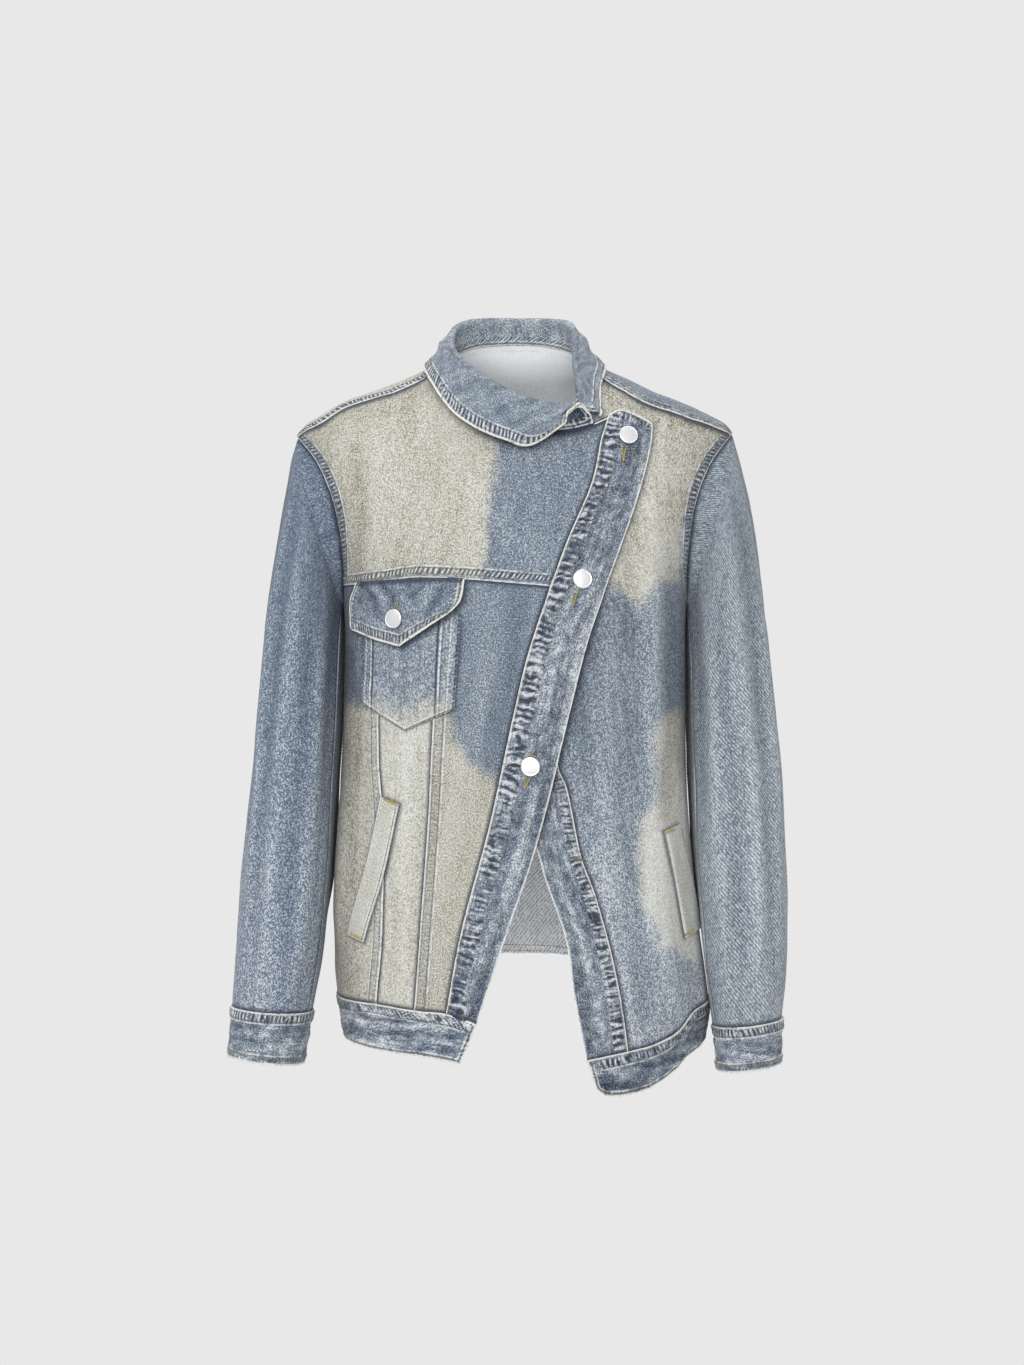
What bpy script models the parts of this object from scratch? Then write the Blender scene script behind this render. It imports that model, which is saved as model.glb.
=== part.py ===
# Denim jacket with an asymmetric front, held open as it is worn.
# Metres, +Z up.  The origin is the middle of the neck base, the front faces -Y and
# the wearer's left is +X.  Lengths below are in millimetres until a mesh is made.
import bmesh
import bpy
import math
import numpy as np

MM = 0.001
CLOTH = 1.6            # denim wall
BAND_CLOTH = 2.6       # folded bands: placket, waistband, cuff
HIDDEN_BAND_CLOTH = 2.0     # the left placket, pressed flat under the right front
POCKET_CLOTH = 1.3
FLAP_CLOTH = 1.8       # the pocket flap and the welts
SEAM_GAP = 0.4         # between neighbouring pieces along a seam
LAYER_GAP = 0.7        # between a panel and what is sewn on it
OVERLAP_LIFT = 3.4     # how far the right front stands off the left one it laps over
CUFF_STEP = 0.9        # how far a cuff stands out from its sleeve
BAND_STEP = 0.9        # and the hem band from the panels above it
COLLAR_STAND = 3.0     # clear space under the collar's falling half
COLLAR_INSET = 1.1     # from the panels' neck edges to the middle of the collar's cloth
COLLAR_FOLD = 2.6      # half the width of the collar's roll
COLLAR_BELLY = 1.5     # how far its falling half swells out midway
FLAP_STAND = 1.6       # how much further the pocket flap's tip stands off the pocket
BUTTON_RADIUS = 8.9
BUTTON_HEIGHT = 3.4
BUTTON_SIDES = 20

DENIM_BLUE = (0.26, 0.33, 0.42, 1.0)
DENIM_PALE = (0.56, 0.56, 0.50, 1.0)
STEEL = (0.80, 0.81, 0.82, 1.0)

# Level sections of the body, a row for each height.  "middle" is where a section is widest.
# height, right, left, front, back, middle, power
TORSO = (
    (-720, 160, 176, 123, 104, 8, 2.35),
    (-660, 160, 178, 123, 104, 8, 2.35),
    (-630, 162, 181, 122, 104, 8, 2.35),
    (-600, 166, 183, 122, 103, 8, 2.35),
    (-560, 170, 178, 121, 101, 8, 2.35),
    (-520, 170, 172, 121, 99, 8, 2.35),
    (-480, 168, 168, 121, 96, 8, 2.35),
    (-420, 165.5, 164, 122, 93, 8, 2.35),
    (-360, 163, 163, 124, 94, 8, 2.35),
    (-300, 161, 162.5, 126, 99, 7, 2.35),
    (-250, 160, 162.5, 127, 105, 6, 2.35),
    (-200, 164, 166, 121, 112, 4, 2.35),
    (-160, 174, 176, 114, 112, 4, 2.35),
    (-120, 188, 189, 103, 107, 4, 2.3),
    (-90, 198, 200, 94, 101, 5, 2.25),
    (-64, 204.5, 207, 83, 94, 5, 2.2),
    (-53, 200, 204, 80, 91, 5, 2.15),
    (-42, 185, 187, 76, 86, 5, 2.1),
    (-30, 165, 162, 71, 80, 5, 2.05),
    (-19, 135, 133, 67, 73, 5, 2.0),
    (-8, 106, 111, 62, 65, 4, 2.0),
    (4, 80, 84, 57, 57, 3, 2.0),
    (20, 66, 68, 54, 53, 2, 2.0),
    (60, 60, 61, 50, 50, 2, 2.0),
)

# Armholes, ovals in side view; the shoulder seam meets one a little in front of its top.
NECK_MIDDLE = np.array([0.0, 0.0, 70.0])
ARMHOLES = {
    -1: {"height": -142, "half_height": 80, "front": 54, "back": 60, "middle": 4, "tip": 0.475},
    1: {"height": -139, "half_height": 81, "front": 54, "back": 60, "middle": 4, "tip": 0.455},
}

# Soft folds of the body: where each starts, how it leans (mm across per mm down), its
# half-width, how far it stands out (- is a trough) and the side of the body it is on.
# side, x, top, bottom, lean, width, rise
FOLDS = (
    ("front", 128, -90, -600, 0.02, 16, 3.2),
    ("front", 100, -150, -560, 0.02, 15, -2.4),
    ("front", 146, -190, -420, 0.0, 12, -2.6),
    ("front", 70, -330, -600, 0.06, 20, 2.2),
    ("front", -142, -185, -300, 0.05, 10, -2.6),
    ("front", -30, -230, -520, -0.08, 22, 1.8),
    ("front", -108, -400, -600, -0.03, 14, 1.6),
    ("back", -95, -140, -500, 0.06, 22, -2.6),
    ("back", -40, -180, -540, 0.02, 24, 2.8),
    ("back", 52, -160, -540, -0.03, 24, 2.4),
    ("back", 104, -150, -500, -0.05, 20, -2.8),
)

# Seams and edges of the front in front view: (x, height).
SHOULDER_RIGHT = ((-203, -63), (-181, -51.6), (-163, -39.3), (-141, -31.4), (-112, -23.7), (-78, -8))
SHOULDER_LEFT = ((201, -61), (169, -49.7), (151, -43.4), (121, -33.6), (98, -20), (80, -8))
NECK_RIGHT = ((-78, -8), (-62, -26), (-43, -43), (-20, -54), (8, -61), (34, -65), (54, -63), (72, -57.5),
              (87, -50.5))
NECK_LEFT = ((80, -8), (66, -28), (46, -44), (18, -54), (-16, -54))
PLACKET_SEAM_HIGH = ((87, -50.5), (80.5, -72), (71, -114), (49, -166), (33.4, -204.5))
PLACKET_SEAM_LOW = ((33.4, -204.5), (13.4, -269), (-1, -330), (-20.9, -423), (-47.2, -524), (-60, -596))
PLACKET_EDGE_HIGH = ((126.8, -57.5), (125.5, -74), (116, -112), (105, -146), (82.5, -206))
PLACKET_EDGE_LOW = ((82.5, -206), (65, -259), (45, -337), (31, -400), (15, -459), (-7.3, -524), (-33.5, -604))
YOKE_SEAM = ((-157, -194), (-130.5, -195), (-104, -195.5), (-55.3, -199), (0, -202), (33.4, -204.5))
SIDE_SEAM_FRONT = ((-130.5, -195), (-131.3, -256), (-130.7, -366), (-127, -417), (-127, -522), (-133, -590.5))
MIDDLE_SEAM_FRONT = ((-55.3, -199), (-60, -240), (-66, -334), (-70, -415), (-75.5, -491), (-83, -594.5))
BAND_RIGHT_TOP = ((-165.4, -590), (-133, -590.5), (-83, -594.5), (-60, -596), (-33.5, -604))
BAND_RIGHT_HEM = ((-159.5, -627), (-146, -630), (-114, -632.6), (-77, -635), (-48, -640))
LEFT_SEAM_HIDDEN = ((-16, -54), (-4, -120), (12, -220), (28, -310), (39.7, -375))
LEFT_SEAM = ((39.7, -375), (47, -391), (60, -454), (72, -487), (86.3, -538), (96.4, -585), (103, -632))
LEFT_EDGE = ((-44, -53), (-34, -130), (-24, -240), (-4, -340), (26, -465), (47, -528), (55, -583),
             (66, -638.5))
BAND_LEFT_TOP = ((66, -638.5), (103, -632), (128, -627), (151, -617), (167, -600), (182, -590))
BAND_LEFT_HEM = ((75, -664), (84, -670), (103, -670), (124, -665.5), (146, -653), (160, -641), (178, -629))
NECK_LEFT_END = ((-16, -54), (-44, -53))
PLACKET_TOP = ((87, -50.5), (98, -46), (112, -50), (126.8, -57.5))

# The back neck seam runs over the shoulders: (x, y, height).
NECK_BACK = ((-78, -38, -8), (-78, -14, 0), (-72, 10, 9), (-60, 30, 20), (-34, 44, 28), (0, 50, 31),
             (34, 44, 28), (60, 30, 20), (73, 10, 9), (80, -14, 0), (80, -38, -8))
# The back, in back view: (x, height).
YOKE_BACK = ((-160, -165), (-110, -168), (0, -170), (110, -168), (160, -165))
BACK_SEAM_RIGHT = ((-110, -168), (-96, -300), (-84, -420), (-76, -530))
BACK_SEAM_LEFT = ((110, -168), (96, -300), (84, -420), (76, -530))
BAND_BACK_TOP = ((-165.4, -590), (-130, -560), (-76, -530), (0, -524), (76, -530), (130, -560), (182, -590))
BAND_BACK_HEM = ((-159.5, -627), (-130, -598), (-76, -569), (0, -563), (76, -569), (130, -598), (178, -629))

# Pockets, in front view.
POCKET = {"top": ((-141, -232), (-51, -234)), "right": ((-141, -232), (-140.7, -313)),
          "left": ((-51, -234), (-56.2, -319)), "low": ((-140.7, -313), (-98.5, -339), (-56.2, -319))}
FLAP = {"top": ((-146.5, -203), (-44.4, -206)), "right": ((-146.5, -203), (-152, -242)),
        "left": ((-44.4, -206), (-57, -236)), "low": ((-152, -242), (-102, -262.7), (-57, -236))}
WELT_RIGHT = {"top": ((-121, -400), (-104, -406)), "right": ((-121, -400), (-133, -455), (-153, -529)),
              "left": ((-104, -406), (-118, -470), (-138, -534)), "low": ((-153, -529), (-138, -534))}
WELT_LEFT = {"top": ((136.7, -432), (151, -427)), "right": ((136.7, -432), (147, -476), (158, -532)),
             "left": ((151, -427), (160, -470), (169.5, -525)), "low": ((158, -532), (169.5, -525))}

# Snap-fronted buttons: (x, height) on the front.
BUTTONS = {"button_neck": (104, -69.7), "button_chest": (60.6, -202.2), "button_waist": (14.4, -370.5),
           "button_flap": (-105.8, -237)}

# Sleeve sections: the outer and the inner point in front view, then the half-depths to
# the front and the back of the section's middle.
# outer x, outer z, inner x, inner z, front, back, middle, power
SLEEVE_RIGHT = (
    (-207.5, -70, -161.5, -226, 56, 62, 3, 2.1),
    (-211.5, -86, -162.0, -236, 60, 64, 2, 2.1),
    (-217.5, -121, -162.3, -248, 63, 65, 0, 2.1),
    (-226.0, -173, -162.6, -266, 65, 66, -3, 2.1),
    (-234.5, -235, -163.2, -292, 65, 66, -7, 2.1),
    (-240.5, -300, -164.5, -330, 64, 65, -11, 2.1),
    (-245.0, -366, -167.0, -378, 61, 62, -16, 2.1),
    (-251.5, -430, -169.5, -436, 58, 59, -21, 2.1),
    (-257.0, -490, -173.5, -494, 54, 55, -27, 2.1),
    (-260.5, -545, -179.5, -549, 49, 50, -32, 2.1),
    (-263.0, -597, -188.6, -602, 44, 45, -36, 2.1),
)
SLEEVE_LEFT = (
    (209.5, -68, 162.5, -226, 56, 62, 3, 2.1),
    (214.5, -86, 163.4, -236, 60, 64, 2, 2.1),
    (222.5, -121, 164.2, -248, 63, 65, 0, 2.1),
    (231.0, -173, 165.0, -266, 65, 66, -3, 2.1),
    (238.0, -235, 165.6, -292, 65, 66, -7, 2.1),
    (244.5, -300, 166.0, -330, 64, 65, -11, 2.1),
    (251.0, -366, 166.8, -380, 61, 62, -16, 2.1),
    (254.5, -430, 168.8, -440, 58, 59, -21, 2.1),
    (256.5, -490, 172.5, -502, 54, 55, -27, 2.1),
    (255.0, -552, 178.5, -562, 47, 48, -32, 2.1),
    (250.0, -608, 186.5, -616, 40, 41, -36, 2.1),
)
CUFF_RIGHT_END = (-267.0, -641, -196.0, -649, 42, 43, -39, 2.1)
CUFF_LEFT_END = (249.0, -648, 189.5, -656, 38, 39, -39, 2.1)

# Soft folds that run down a sleeve: where round it (turns from the inside over the front),
# the share of the length it starts and ends at, its half-width in turns, and its rise.
# place, start, end, width, rise
SLEEVE_FOLDS = (
    (0.13, 0.05, 0.95, 0.045, -3.2),
    (0.22, 0.00, 0.90, 0.050, 2.6),
    (0.33, 0.15, 1.00, 0.045, -2.2),
    (0.43, 0.05, 0.85, 0.050, 2.2),
    (0.60, 0.10, 0.95, 0.060, -2.8),
    (0.74, 0.05, 0.90, 0.060, 2.4),
    (0.88, 0.10, 0.80, 0.050, -2.4),
)

# The collar's roll and falling edge, even steps round the neck from the fastened end to
# the free one; the shares are where the steps pass from the front to the back neck seam.
# roll x y z, edge x y z
COLLAR = (
    ((60, -86, -39.7), (47, -94, -58)),
    ((42, -88, -40), (15, -94, -78)),
    ((20, -85, -36), (-8, -93, -73)),
    ((-6, -78, -25), (-34, -88, -62)),
    ((-30, -66, -10), (-57, -76, -45)),
    ((-50, -40, 8), (-75, -50, -20)),
    ((-59, -10, 26), (-81, -12, -3)),
    ((-57, 22, 46), (-76, 34, 8)),
    ((-38, 44, 56), (-50, 62, 10)),
    ((0, 55, 58), (0, 74, 10)),
    ((38, 44, 56), (50, 62, 10)),
    ((56, 22, 48), (76, 34, 8)),
    ((58, -8, 26), (85, -10, -3)),
    ((57, -42, 0), (88, -46, -22)),
    ((55, -62, -22), (86, -68, -44)),
)
COLLAR_STEPS = {"right": 8, "back": 12, "left": 3}
COLLAR_CORNERS = (0, 5, 13, 14)     # the rows at the fastened end, the shoulder seams and the free end
ARM_STEPS = {"low front": 2, "yoke": 8, "low back": 3}


# ---------------------------------------------------------------- the body's form

TORSO_ROWS = np.array(TORSO, dtype=float)


def smooth_row(rows, at):
    """The row of a table at a value of its first column, on smooth curves without overshoot."""
    places = rows[:, 0]
    values = rows[:, 1:]
    last = len(rows) - 1
    at = min(max(at, places[0]), places[-1])
    low = min(max(int(np.searchsorted(places, at)) - 1, 0), last - 1)
    step = places[low + 1] - places[low]
    t = (at - places[low]) / step
    slopes = []
    for row in (low, low + 1):
        before = max(row, 1)
        after = min(row, last - 1)
        a = (values[before] - values[before - 1]) / (places[before] - places[before - 1])
        b = (values[after + 1] - values[after]) / (places[after + 1] - places[after])
        slopes.append(np.where(a * b > 0, 2 * a * b / (a + b + 1e-12), 0.0))
    return ((2 * t ** 3 - 3 * t ** 2 + 1) * values[low] + (t ** 3 - 2 * t ** 2 + t) * step * slopes[0]
            + (3 * t ** 2 - 2 * t ** 3) * values[low + 1] + (t ** 3 - t ** 2) * step * slopes[1])


def form(point):
    """Below 0 inside the body's surface, 0 on it and above 0 outside."""
    x, y, z = point
    right, left, front, back, middle, power = smooth_row(TORSO_ROWS, z)
    across = abs(x) / (right if x < 0 else left)
    deep = abs(y - middle) / (front if y < middle else back)
    return (across ** power + deep ** power) ** (1 / power) - 1


def outward(point):
    step = 0.5
    slope = np.array([form(point + step * axis) - form(point - step * axis) for axis in np.eye(3)])
    return slope / (2 * step)


def onto_body(point):
    """The point moved square to the body's surface until it lies on it."""
    point = np.array(point, dtype=float)
    for _ in range(30):
        value = form(point)
        if abs(value) < 1e-6:
            break
        slope = outward(point)
        move = value * slope / slope.dot(slope)
        length = np.linalg.norm(move)
        point = point - move * min(1.0, 15.0 / (length + 1e-9))
    return point


def body_normal(point):
    slope = outward(point)
    return slope / np.linalg.norm(slope)


def on_side(x, z, side):
    """The surface point behind (x, z) of a front or a back view."""
    right, left, front, back, middle, power = smooth_row(TORSO_ROWS, z)
    share = min(abs(x) / (right if x < 0 else left), 1.0)
    deep = (1 - share ** power) ** (1 / power)
    return np.array([x, middle - front * deep if side == "front" else middle + back * deep, z])


def body_fold(point):
    total = 0.0
    x, y, z = point
    for side, start_x, top, bottom, lean, width, rise in FOLDS:
        if (side == "front") != (y < 0) or z > top or z < bottom:
            continue
        along = (top - z) / (top - bottom)
        across = (x - start_x - lean * (top - z)) / width
        total += rise * math.exp(-across * across) * math.sin(math.pi * along) ** 0.7
    return total * min(1.0, abs(y) / 40)


# ---------------------------------------------------------------- curves and patches

def curve_places(points):
    """The share of a line's length at each of its points."""
    spans = np.maximum(np.linalg.norm(np.diff(points, axis=0), axis=1), 1e-6)
    return np.concatenate(([0.0], np.cumsum(spans))) / spans.sum()


def smooth_curve(points):
    """A function of 0..1 through the points, even along their length."""
    points = np.array(points, dtype=float)
    places = curve_places(points)
    ends = np.vstack((2 * points[0] - points[1], points, 2 * points[-1] - points[-2]))
    before = np.concatenate(([-places[1]], places, [2 - places[-2]]))

    def read(t):
        k = min(max(int(np.searchsorted(places, t)) - 1, 0), len(places) - 2)
        step = places[k + 1] - places[k]
        s = (t - places[k]) / step
        a = (ends[k + 2] - ends[k]) / (before[k + 2] - before[k]) * step
        b = (ends[k + 3] - ends[k + 1]) / (before[k + 3] - before[k + 1]) * step
        return ((2 * s ** 3 - 3 * s ** 2 + 1) * points[k] + (s ** 3 - 2 * s ** 2 + s) * a
                + (3 * s ** 2 - 2 * s ** 3) * points[k + 1] + (s ** 3 - s ** 2) * b)
    return read


def smooth_steps(rows, places):
    """A table read smoothly between its rows, at places counted in rows."""
    rows = np.array(rows, dtype=float)
    ends = np.vstack((2 * rows[0] - rows[1], rows, 2 * rows[-1] - rows[-2]))
    out = []
    for at in places:
        k = min(int(at), len(rows) - 2)
        s = at - k
        before, here, after, beyond = ends[k:k + 4]
        out.append(here + 0.5 * s * (after - before + s * (2 * before - 5 * here + 4 * after - beyond
                                                           + s * (3 * (here - after) + beyond - before))))
    return out


def seam(view, count, side="front", first=0, last=None):
    """count + 1 surface points along a line, between two of its corners.  The line is given in a
    front or a back view, or in space."""
    corners = np.array([on_side(p[0], p[1], side) if len(p) == 2 else onto_body(p) for p in view])
    places = curve_places(corners)
    read = smooth_curve(corners)
    start = places[first]
    end = places[len(view) - 1 if last is None else last]
    return [onto_body(read(start + (end - start) * k / count)) for k in range(count + 1)]


def turned(line):
    return list(reversed(line))


def pinned(line, first=None, last=None):
    """The line with its ends moved onto given points."""
    out = list(line)
    if first is not None:
        out[0] = first
    if last is not None:
        out[-1] = last
    return out


def armhole_point(sign, turn):
    """A point of an armhole; turn 0 is its lowest, 0.25 its front and 0.5 its top."""
    hole = ARMHOLES[sign]
    angle = 2 * math.pi * turn
    y = hole["middle"] - hole["front" if turn < 0.5 else "back"] * math.sin(angle)
    z = hole["height"] - hole["half_height"] * math.cos(angle)
    right, left, front, back, middle, power = smooth_row(TORSO_ROWS, z)
    share = min(abs(y - middle) / (front if y < middle else back), 1.0)
    return np.array([sign * (right if sign < 0 else left) * (1 - share ** power) ** (1 / power), y, z])


def armhole_turn(sign, z, side):
    """Where an armhole passes a height, on its front or its back half."""
    hole = ARMHOLES[sign]
    turn = math.acos(max(-1.0, min(1.0, (hole["height"] - z) / hole["half_height"]))) / (2 * math.pi)
    return turn if side == "front" else 1 - turn


def armhole_stops(sign):
    """Where the panels' corners lie round an armhole, with the number of steps up to each."""
    tip = ARMHOLES[sign]["tip"]
    back = armhole_turn(sign, YOKE_BACK[0][1], "back")
    if sign < 0:
        corner = armhole_turn(sign, YOKE_SEAM[0][1], "front")
        front = ((corner, ARM_STEPS["low front"]), (tip, ARM_STEPS["yoke"]))
    else:
        front = ((tip, ARM_STEPS["low front"] + ARM_STEPS["yoke"]),)
    return ((0.0, 0),) + front + ((back, ARM_STEPS["yoke"]), (1.0, ARM_STEPS["low back"]))


def armhole_turns(sign):
    """Every step round an armhole, the same for the panels and the sleeve."""
    turns = [0.0]
    for end, steps in armhole_stops(sign)[1:]:
        start = turns[-1]
        turns.extend(start + (end - start) * (k + 1) / steps for k in range(steps))
    return turns


def armhole_line(sign, first, last):
    """The armhole's points between two of its steps."""
    turns = armhole_turns(sign)
    step = 1 if last > first else -1
    return [armhole_point(sign, turns[k]) for k in range(first, last + step, step)]


def clear_of_armhole(point):
    """The surface point moved along the body until it lies outside its side's armhole."""
    sign = -1 if point[0] < 0 else 1
    hole = ARMHOLES[sign]
    if abs(point[0]) < 120:
        return point
    for _ in range(6):
        deep = (point[1] - hole["middle"]) / hole["front" if point[1] < hole["middle"] else "back"]
        tall = (point[2] - hole["height"]) / hole["half_height"]
        share = math.hypot(deep, tall)
        if share > 1.04:
            break
        point = np.array([point[0], hole["middle"] + (point[1] - hole["middle"]) * 1.05 / share,
                          hole["height"] + (point[2] - hole["height"]) * 1.05 / share])
        point = onto_body(point)
    return point


def join(*lines):
    whole = list(lines[0])
    for line in lines[1:]:
        whole.extend(line[1:])
    return whole


def coons(low, high, first, last):
    """A grid of surface points inside four edges: low and high run across, first and last up."""
    columns = len(low) - 1
    rows = len(first) - 1
    grid = np.zeros((rows + 1, columns + 1, 3))
    for r in range(rows + 1):
        v = r / rows
        for c in range(columns + 1):
            u = c / columns
            grid[r, c] = ((1 - v) * low[c] + v * high[c] + (1 - u) * first[r] + u * last[r]
                          - (1 - u) * (1 - v) * low[0] - u * (1 - v) * low[-1]
                          - (1 - u) * v * high[0] - u * v * high[-1])
    return grid


def trim_edges(grid, gap, sides="lrbt"):
    """Draws the named edges of a grid back by a gap."""
    out = grid.copy()
    moves = (("b", 0, 1, True), ("t", -1, -2, True), ("l", 0, 1, False), ("r", -1, -2, False))
    for letter, edge, inner, is_row in moves:
        if letter not in sides:
            continue
        source = grid[inner] - grid[edge] if is_row else grid[:, inner] - grid[:, edge]
        reach = np.linalg.norm(source, axis=1, keepdims=True)
        shift = source / np.maximum(reach, 1e-9) * gap
        if is_row:
            out[edge] += shift
        else:
            out[:, edge] += shift
    return out


# ---------------------------------------------------------------- making objects

def material_for(name, colour, metallic=0.0, roughness=0.85):
    material = bpy.data.materials.new(name)
    material.use_nodes = True
    shader = material.node_tree.nodes["Principled BSDF"]
    shader.inputs["Base Color"].default_value = colour
    shader.inputs["Metallic"].default_value = metallic
    shader.inputs["Roughness"].default_value = roughness
    return material


def make_object(name, points, faces, colour, metallic=0.0, roughness=0.85):
    mesh = bpy.data.meshes.new(name)
    mesh.from_pydata([tuple(float(v) * MM for v in p) for p in points], [], faces)
    shape = bmesh.new()
    shape.from_mesh(mesh)
    bmesh.ops.recalc_face_normals(shape, faces=shape.faces)
    shape.to_mesh(mesh)
    shape.free()
    mesh.shade_smooth()
    mesh.materials.append(material_for(name, colour, metallic, roughness))
    thing = bpy.data.objects.new(name, mesh)
    bpy.context.scene.collection.objects.link(thing)
    return thing


def wall(name, outer, inner, colour, round_closed=False):
    """A cloth wall between two grids of points; round_closed joins its last column to its first.
    Its rims are split the same way on every piece, so that two rims along a seam stay parallel."""
    rows, columns = outer.shape[:2]
    size = rows * columns
    points = list(outer.reshape(-1, 3)) + list(inner.reshape(-1, 3))
    faces = []
    spans = columns if round_closed else columns - 1
    for r in range(rows - 1):
        for c in range(spans):
            d = (c + 1) % columns
            corners = (r * columns + c, r * columns + d, (r + 1) * columns + d, (r + 1) * columns + c)
            faces.append(corners)
            faces.append(tuple(size + k for k in reversed(corners)))
    for c in range(spans):
        d = (c + 1) % columns
        top = (rows - 1) * columns
        for a, b in ((c, d), (top + c, top + d)):
            faces.append((a, size + b, b))
            faces.append((a, size + a, size + b))
    if not round_closed:
        for r in range(rows - 1):
            for edge in (0, columns - 1):
                a = r * columns + edge
                b = (r + 1) * columns + edge
                faces.append((a, size + b, b))
                faces.append((a, size + a, size + b))
    return make_object(name, points, faces, colour)


def panel(name, low, high, first, last, colour, lift=None, cloth=CLOTH, sides="lrbt"):
    """A piece of the body: its four edges, how far its outer face stands off the form."""
    grid = coons(low, high, first, last)
    for r in range(1, grid.shape[0] - 1):
        for c in range(1, grid.shape[1] - 1):
            grid[r, c] = clear_of_armhole(onto_body(grid[r, c]))
    grid = trim_edges(grid, SEAM_GAP / 2, sides)
    outer = np.zeros_like(grid)
    inner = np.zeros_like(grid)
    for r in range(grid.shape[0]):
        for c in range(grid.shape[1]):
            point = onto_body(grid[r, c])
            normal = body_normal(point)
            out = body_fold(point) + (lift(point) if lift else 0.0)
            outer[r, c] = point + normal * out
            inner[r, c] = point + normal * (out - cloth)
    return wall(name, outer, inner, colour)


def front_lift(point):
    """The right front leaves the form towards its front edge, to lap over the left front."""
    x, y, z = point
    start = -112 + 0.05 * (z + 200)
    share = min(max((x - start) / 60, 0.0), 1.0)
    return OVERLAP_LIFT * share * share * (3 - 2 * share)


def edge_distance(point):
    """How far a point lies inside the right placket's front edge, across the body."""
    reach = [(z, x) for x, z in PLACKET_EDGE_HIGH + PLACKET_EDGE_LOW[1:]]
    reach.sort()
    return np.interp(point[2], [z for z, _ in reach], [x for _, x in reach]) - point[0]


def placket_lift(point):
    """The placket is thicker than its panel, and its edge rolls outwards at the waist."""
    roll = 5.0 * math.exp(-((point[2] + 340) / 55) ** 2)
    roll += 3.0 * math.exp(-((point[2] + 560) / 60) ** 2)
    near = min(max(1 - edge_distance(point) / 40, 0.0), 1.0)
    return front_lift(point) + 0.9 + roll * near


def on_panel(name, outline, columns, rows, colour, lift, cloth):
    """A piece sewn on the front, from its outline in front view."""
    low = seam(outline["low"], columns)
    high = seam(outline["top"], columns)
    first = seam(tuple(reversed(outline["right"])), rows)
    last = seam(tuple(reversed(outline["left"])), rows)
    if len(outline["low"]) == 3:
        half = columns // 2
        low = join(seam(outline["low"][:2], half), seam(outline["low"][1:], columns - half))
    return panel(name, low, high, first, last, colour, lift, cloth, sides="")


# ---------------------------------------------------------------- the pieces

def side_line(sign, low, high, count):
    """Points down the side of the body."""
    line = []
    for k in range(count + 1):
        z = low + (high - low) * k / count
        row = smooth_row(TORSO_ROWS, z)
        line.append(np.array([-row[0] if sign < 0 else row[1], row[4], z]))
    return line


def make_right_front():
    """Yoke, three lower panels and the placket of the front that laps over."""
    yoke_rows = ARM_STEPS["yoke"]
    low_rows = 17
    under_rows = ARM_STEPS["low front"]
    arm = armhole_line(-1, under_rows, under_rows + yoke_rows)
    underarm = armhole_line(-1, 0, under_rows)
    side = side_line(-1, BAND_RIGHT_TOP[0][1], underarm[0][2], low_rows - under_rows)
    shoulder = pinned(seam(SHOULDER_RIGHT, 7), first=arm[-1])
    neck = join(seam(NECK_RIGHT, COLLAR_STEPS["right"], last=7), seam(NECK_RIGHT, 1, first=7))
    yoke_side = pinned(seam(YOKE_SEAM, 4, last=1), first=arm[0])
    yoke_middle = seam(YOKE_SEAM, 6, first=1, last=3)
    yoke_centre = seam(YOKE_SEAM, 6, first=3)
    seam_one = turned(seam(SIDE_SEAM_FRONT, low_rows))
    seam_two = turned(seam(MIDDLE_SEAM_FRONT, low_rows))
    seam_three = turned(seam(PLACKET_SEAM_LOW, low_rows))
    seam_high = turned(seam(PLACKET_SEAM_HIGH, yoke_rows))
    hem_side = pinned(seam(BAND_RIGHT_TOP, 4, last=1), first=side[0])
    hem_middle = seam(BAND_RIGHT_TOP, 6, first=1, last=2)
    hem_centre = seam(BAND_RIGHT_TOP, 6, first=2, last=3)
    hem_placket = seam(BAND_RIGHT_TOP, 3, first=3)
    panel("right_front_yoke", join(yoke_side, yoke_middle, yoke_centre), join(shoulder, neck),
          arm, seam_high, DENIM_PALE, front_lift)
    panel("right_front_side", hem_side, yoke_side, join(side, underarm), seam_one, DENIM_BLUE, front_lift)
    panel("right_front_middle", hem_middle, yoke_middle, seam_one, seam_two, DENIM_PALE, front_lift)
    panel("right_front_centre", hem_centre, yoke_centre, seam_two, seam_three, DENIM_BLUE, front_lift)
    edge_high = turned(seam(PLACKET_EDGE_HIGH, yoke_rows))
    edge_low = turned(seam(PLACKET_EDGE_LOW, low_rows))
    panel("right_placket", hem_placket, seam(PLACKET_TOP, 3), join(seam_three, seam_high),
          join(edge_low, edge_high), DENIM_BLUE, placket_lift, BAND_CLOTH)
    band("waistband_right", seam(BAND_RIGHT_HEM, 19), join(hem_side, hem_middle, hem_centre, hem_placket),
         lambda point: front_lift(point) + BAND_STEP)


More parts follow.
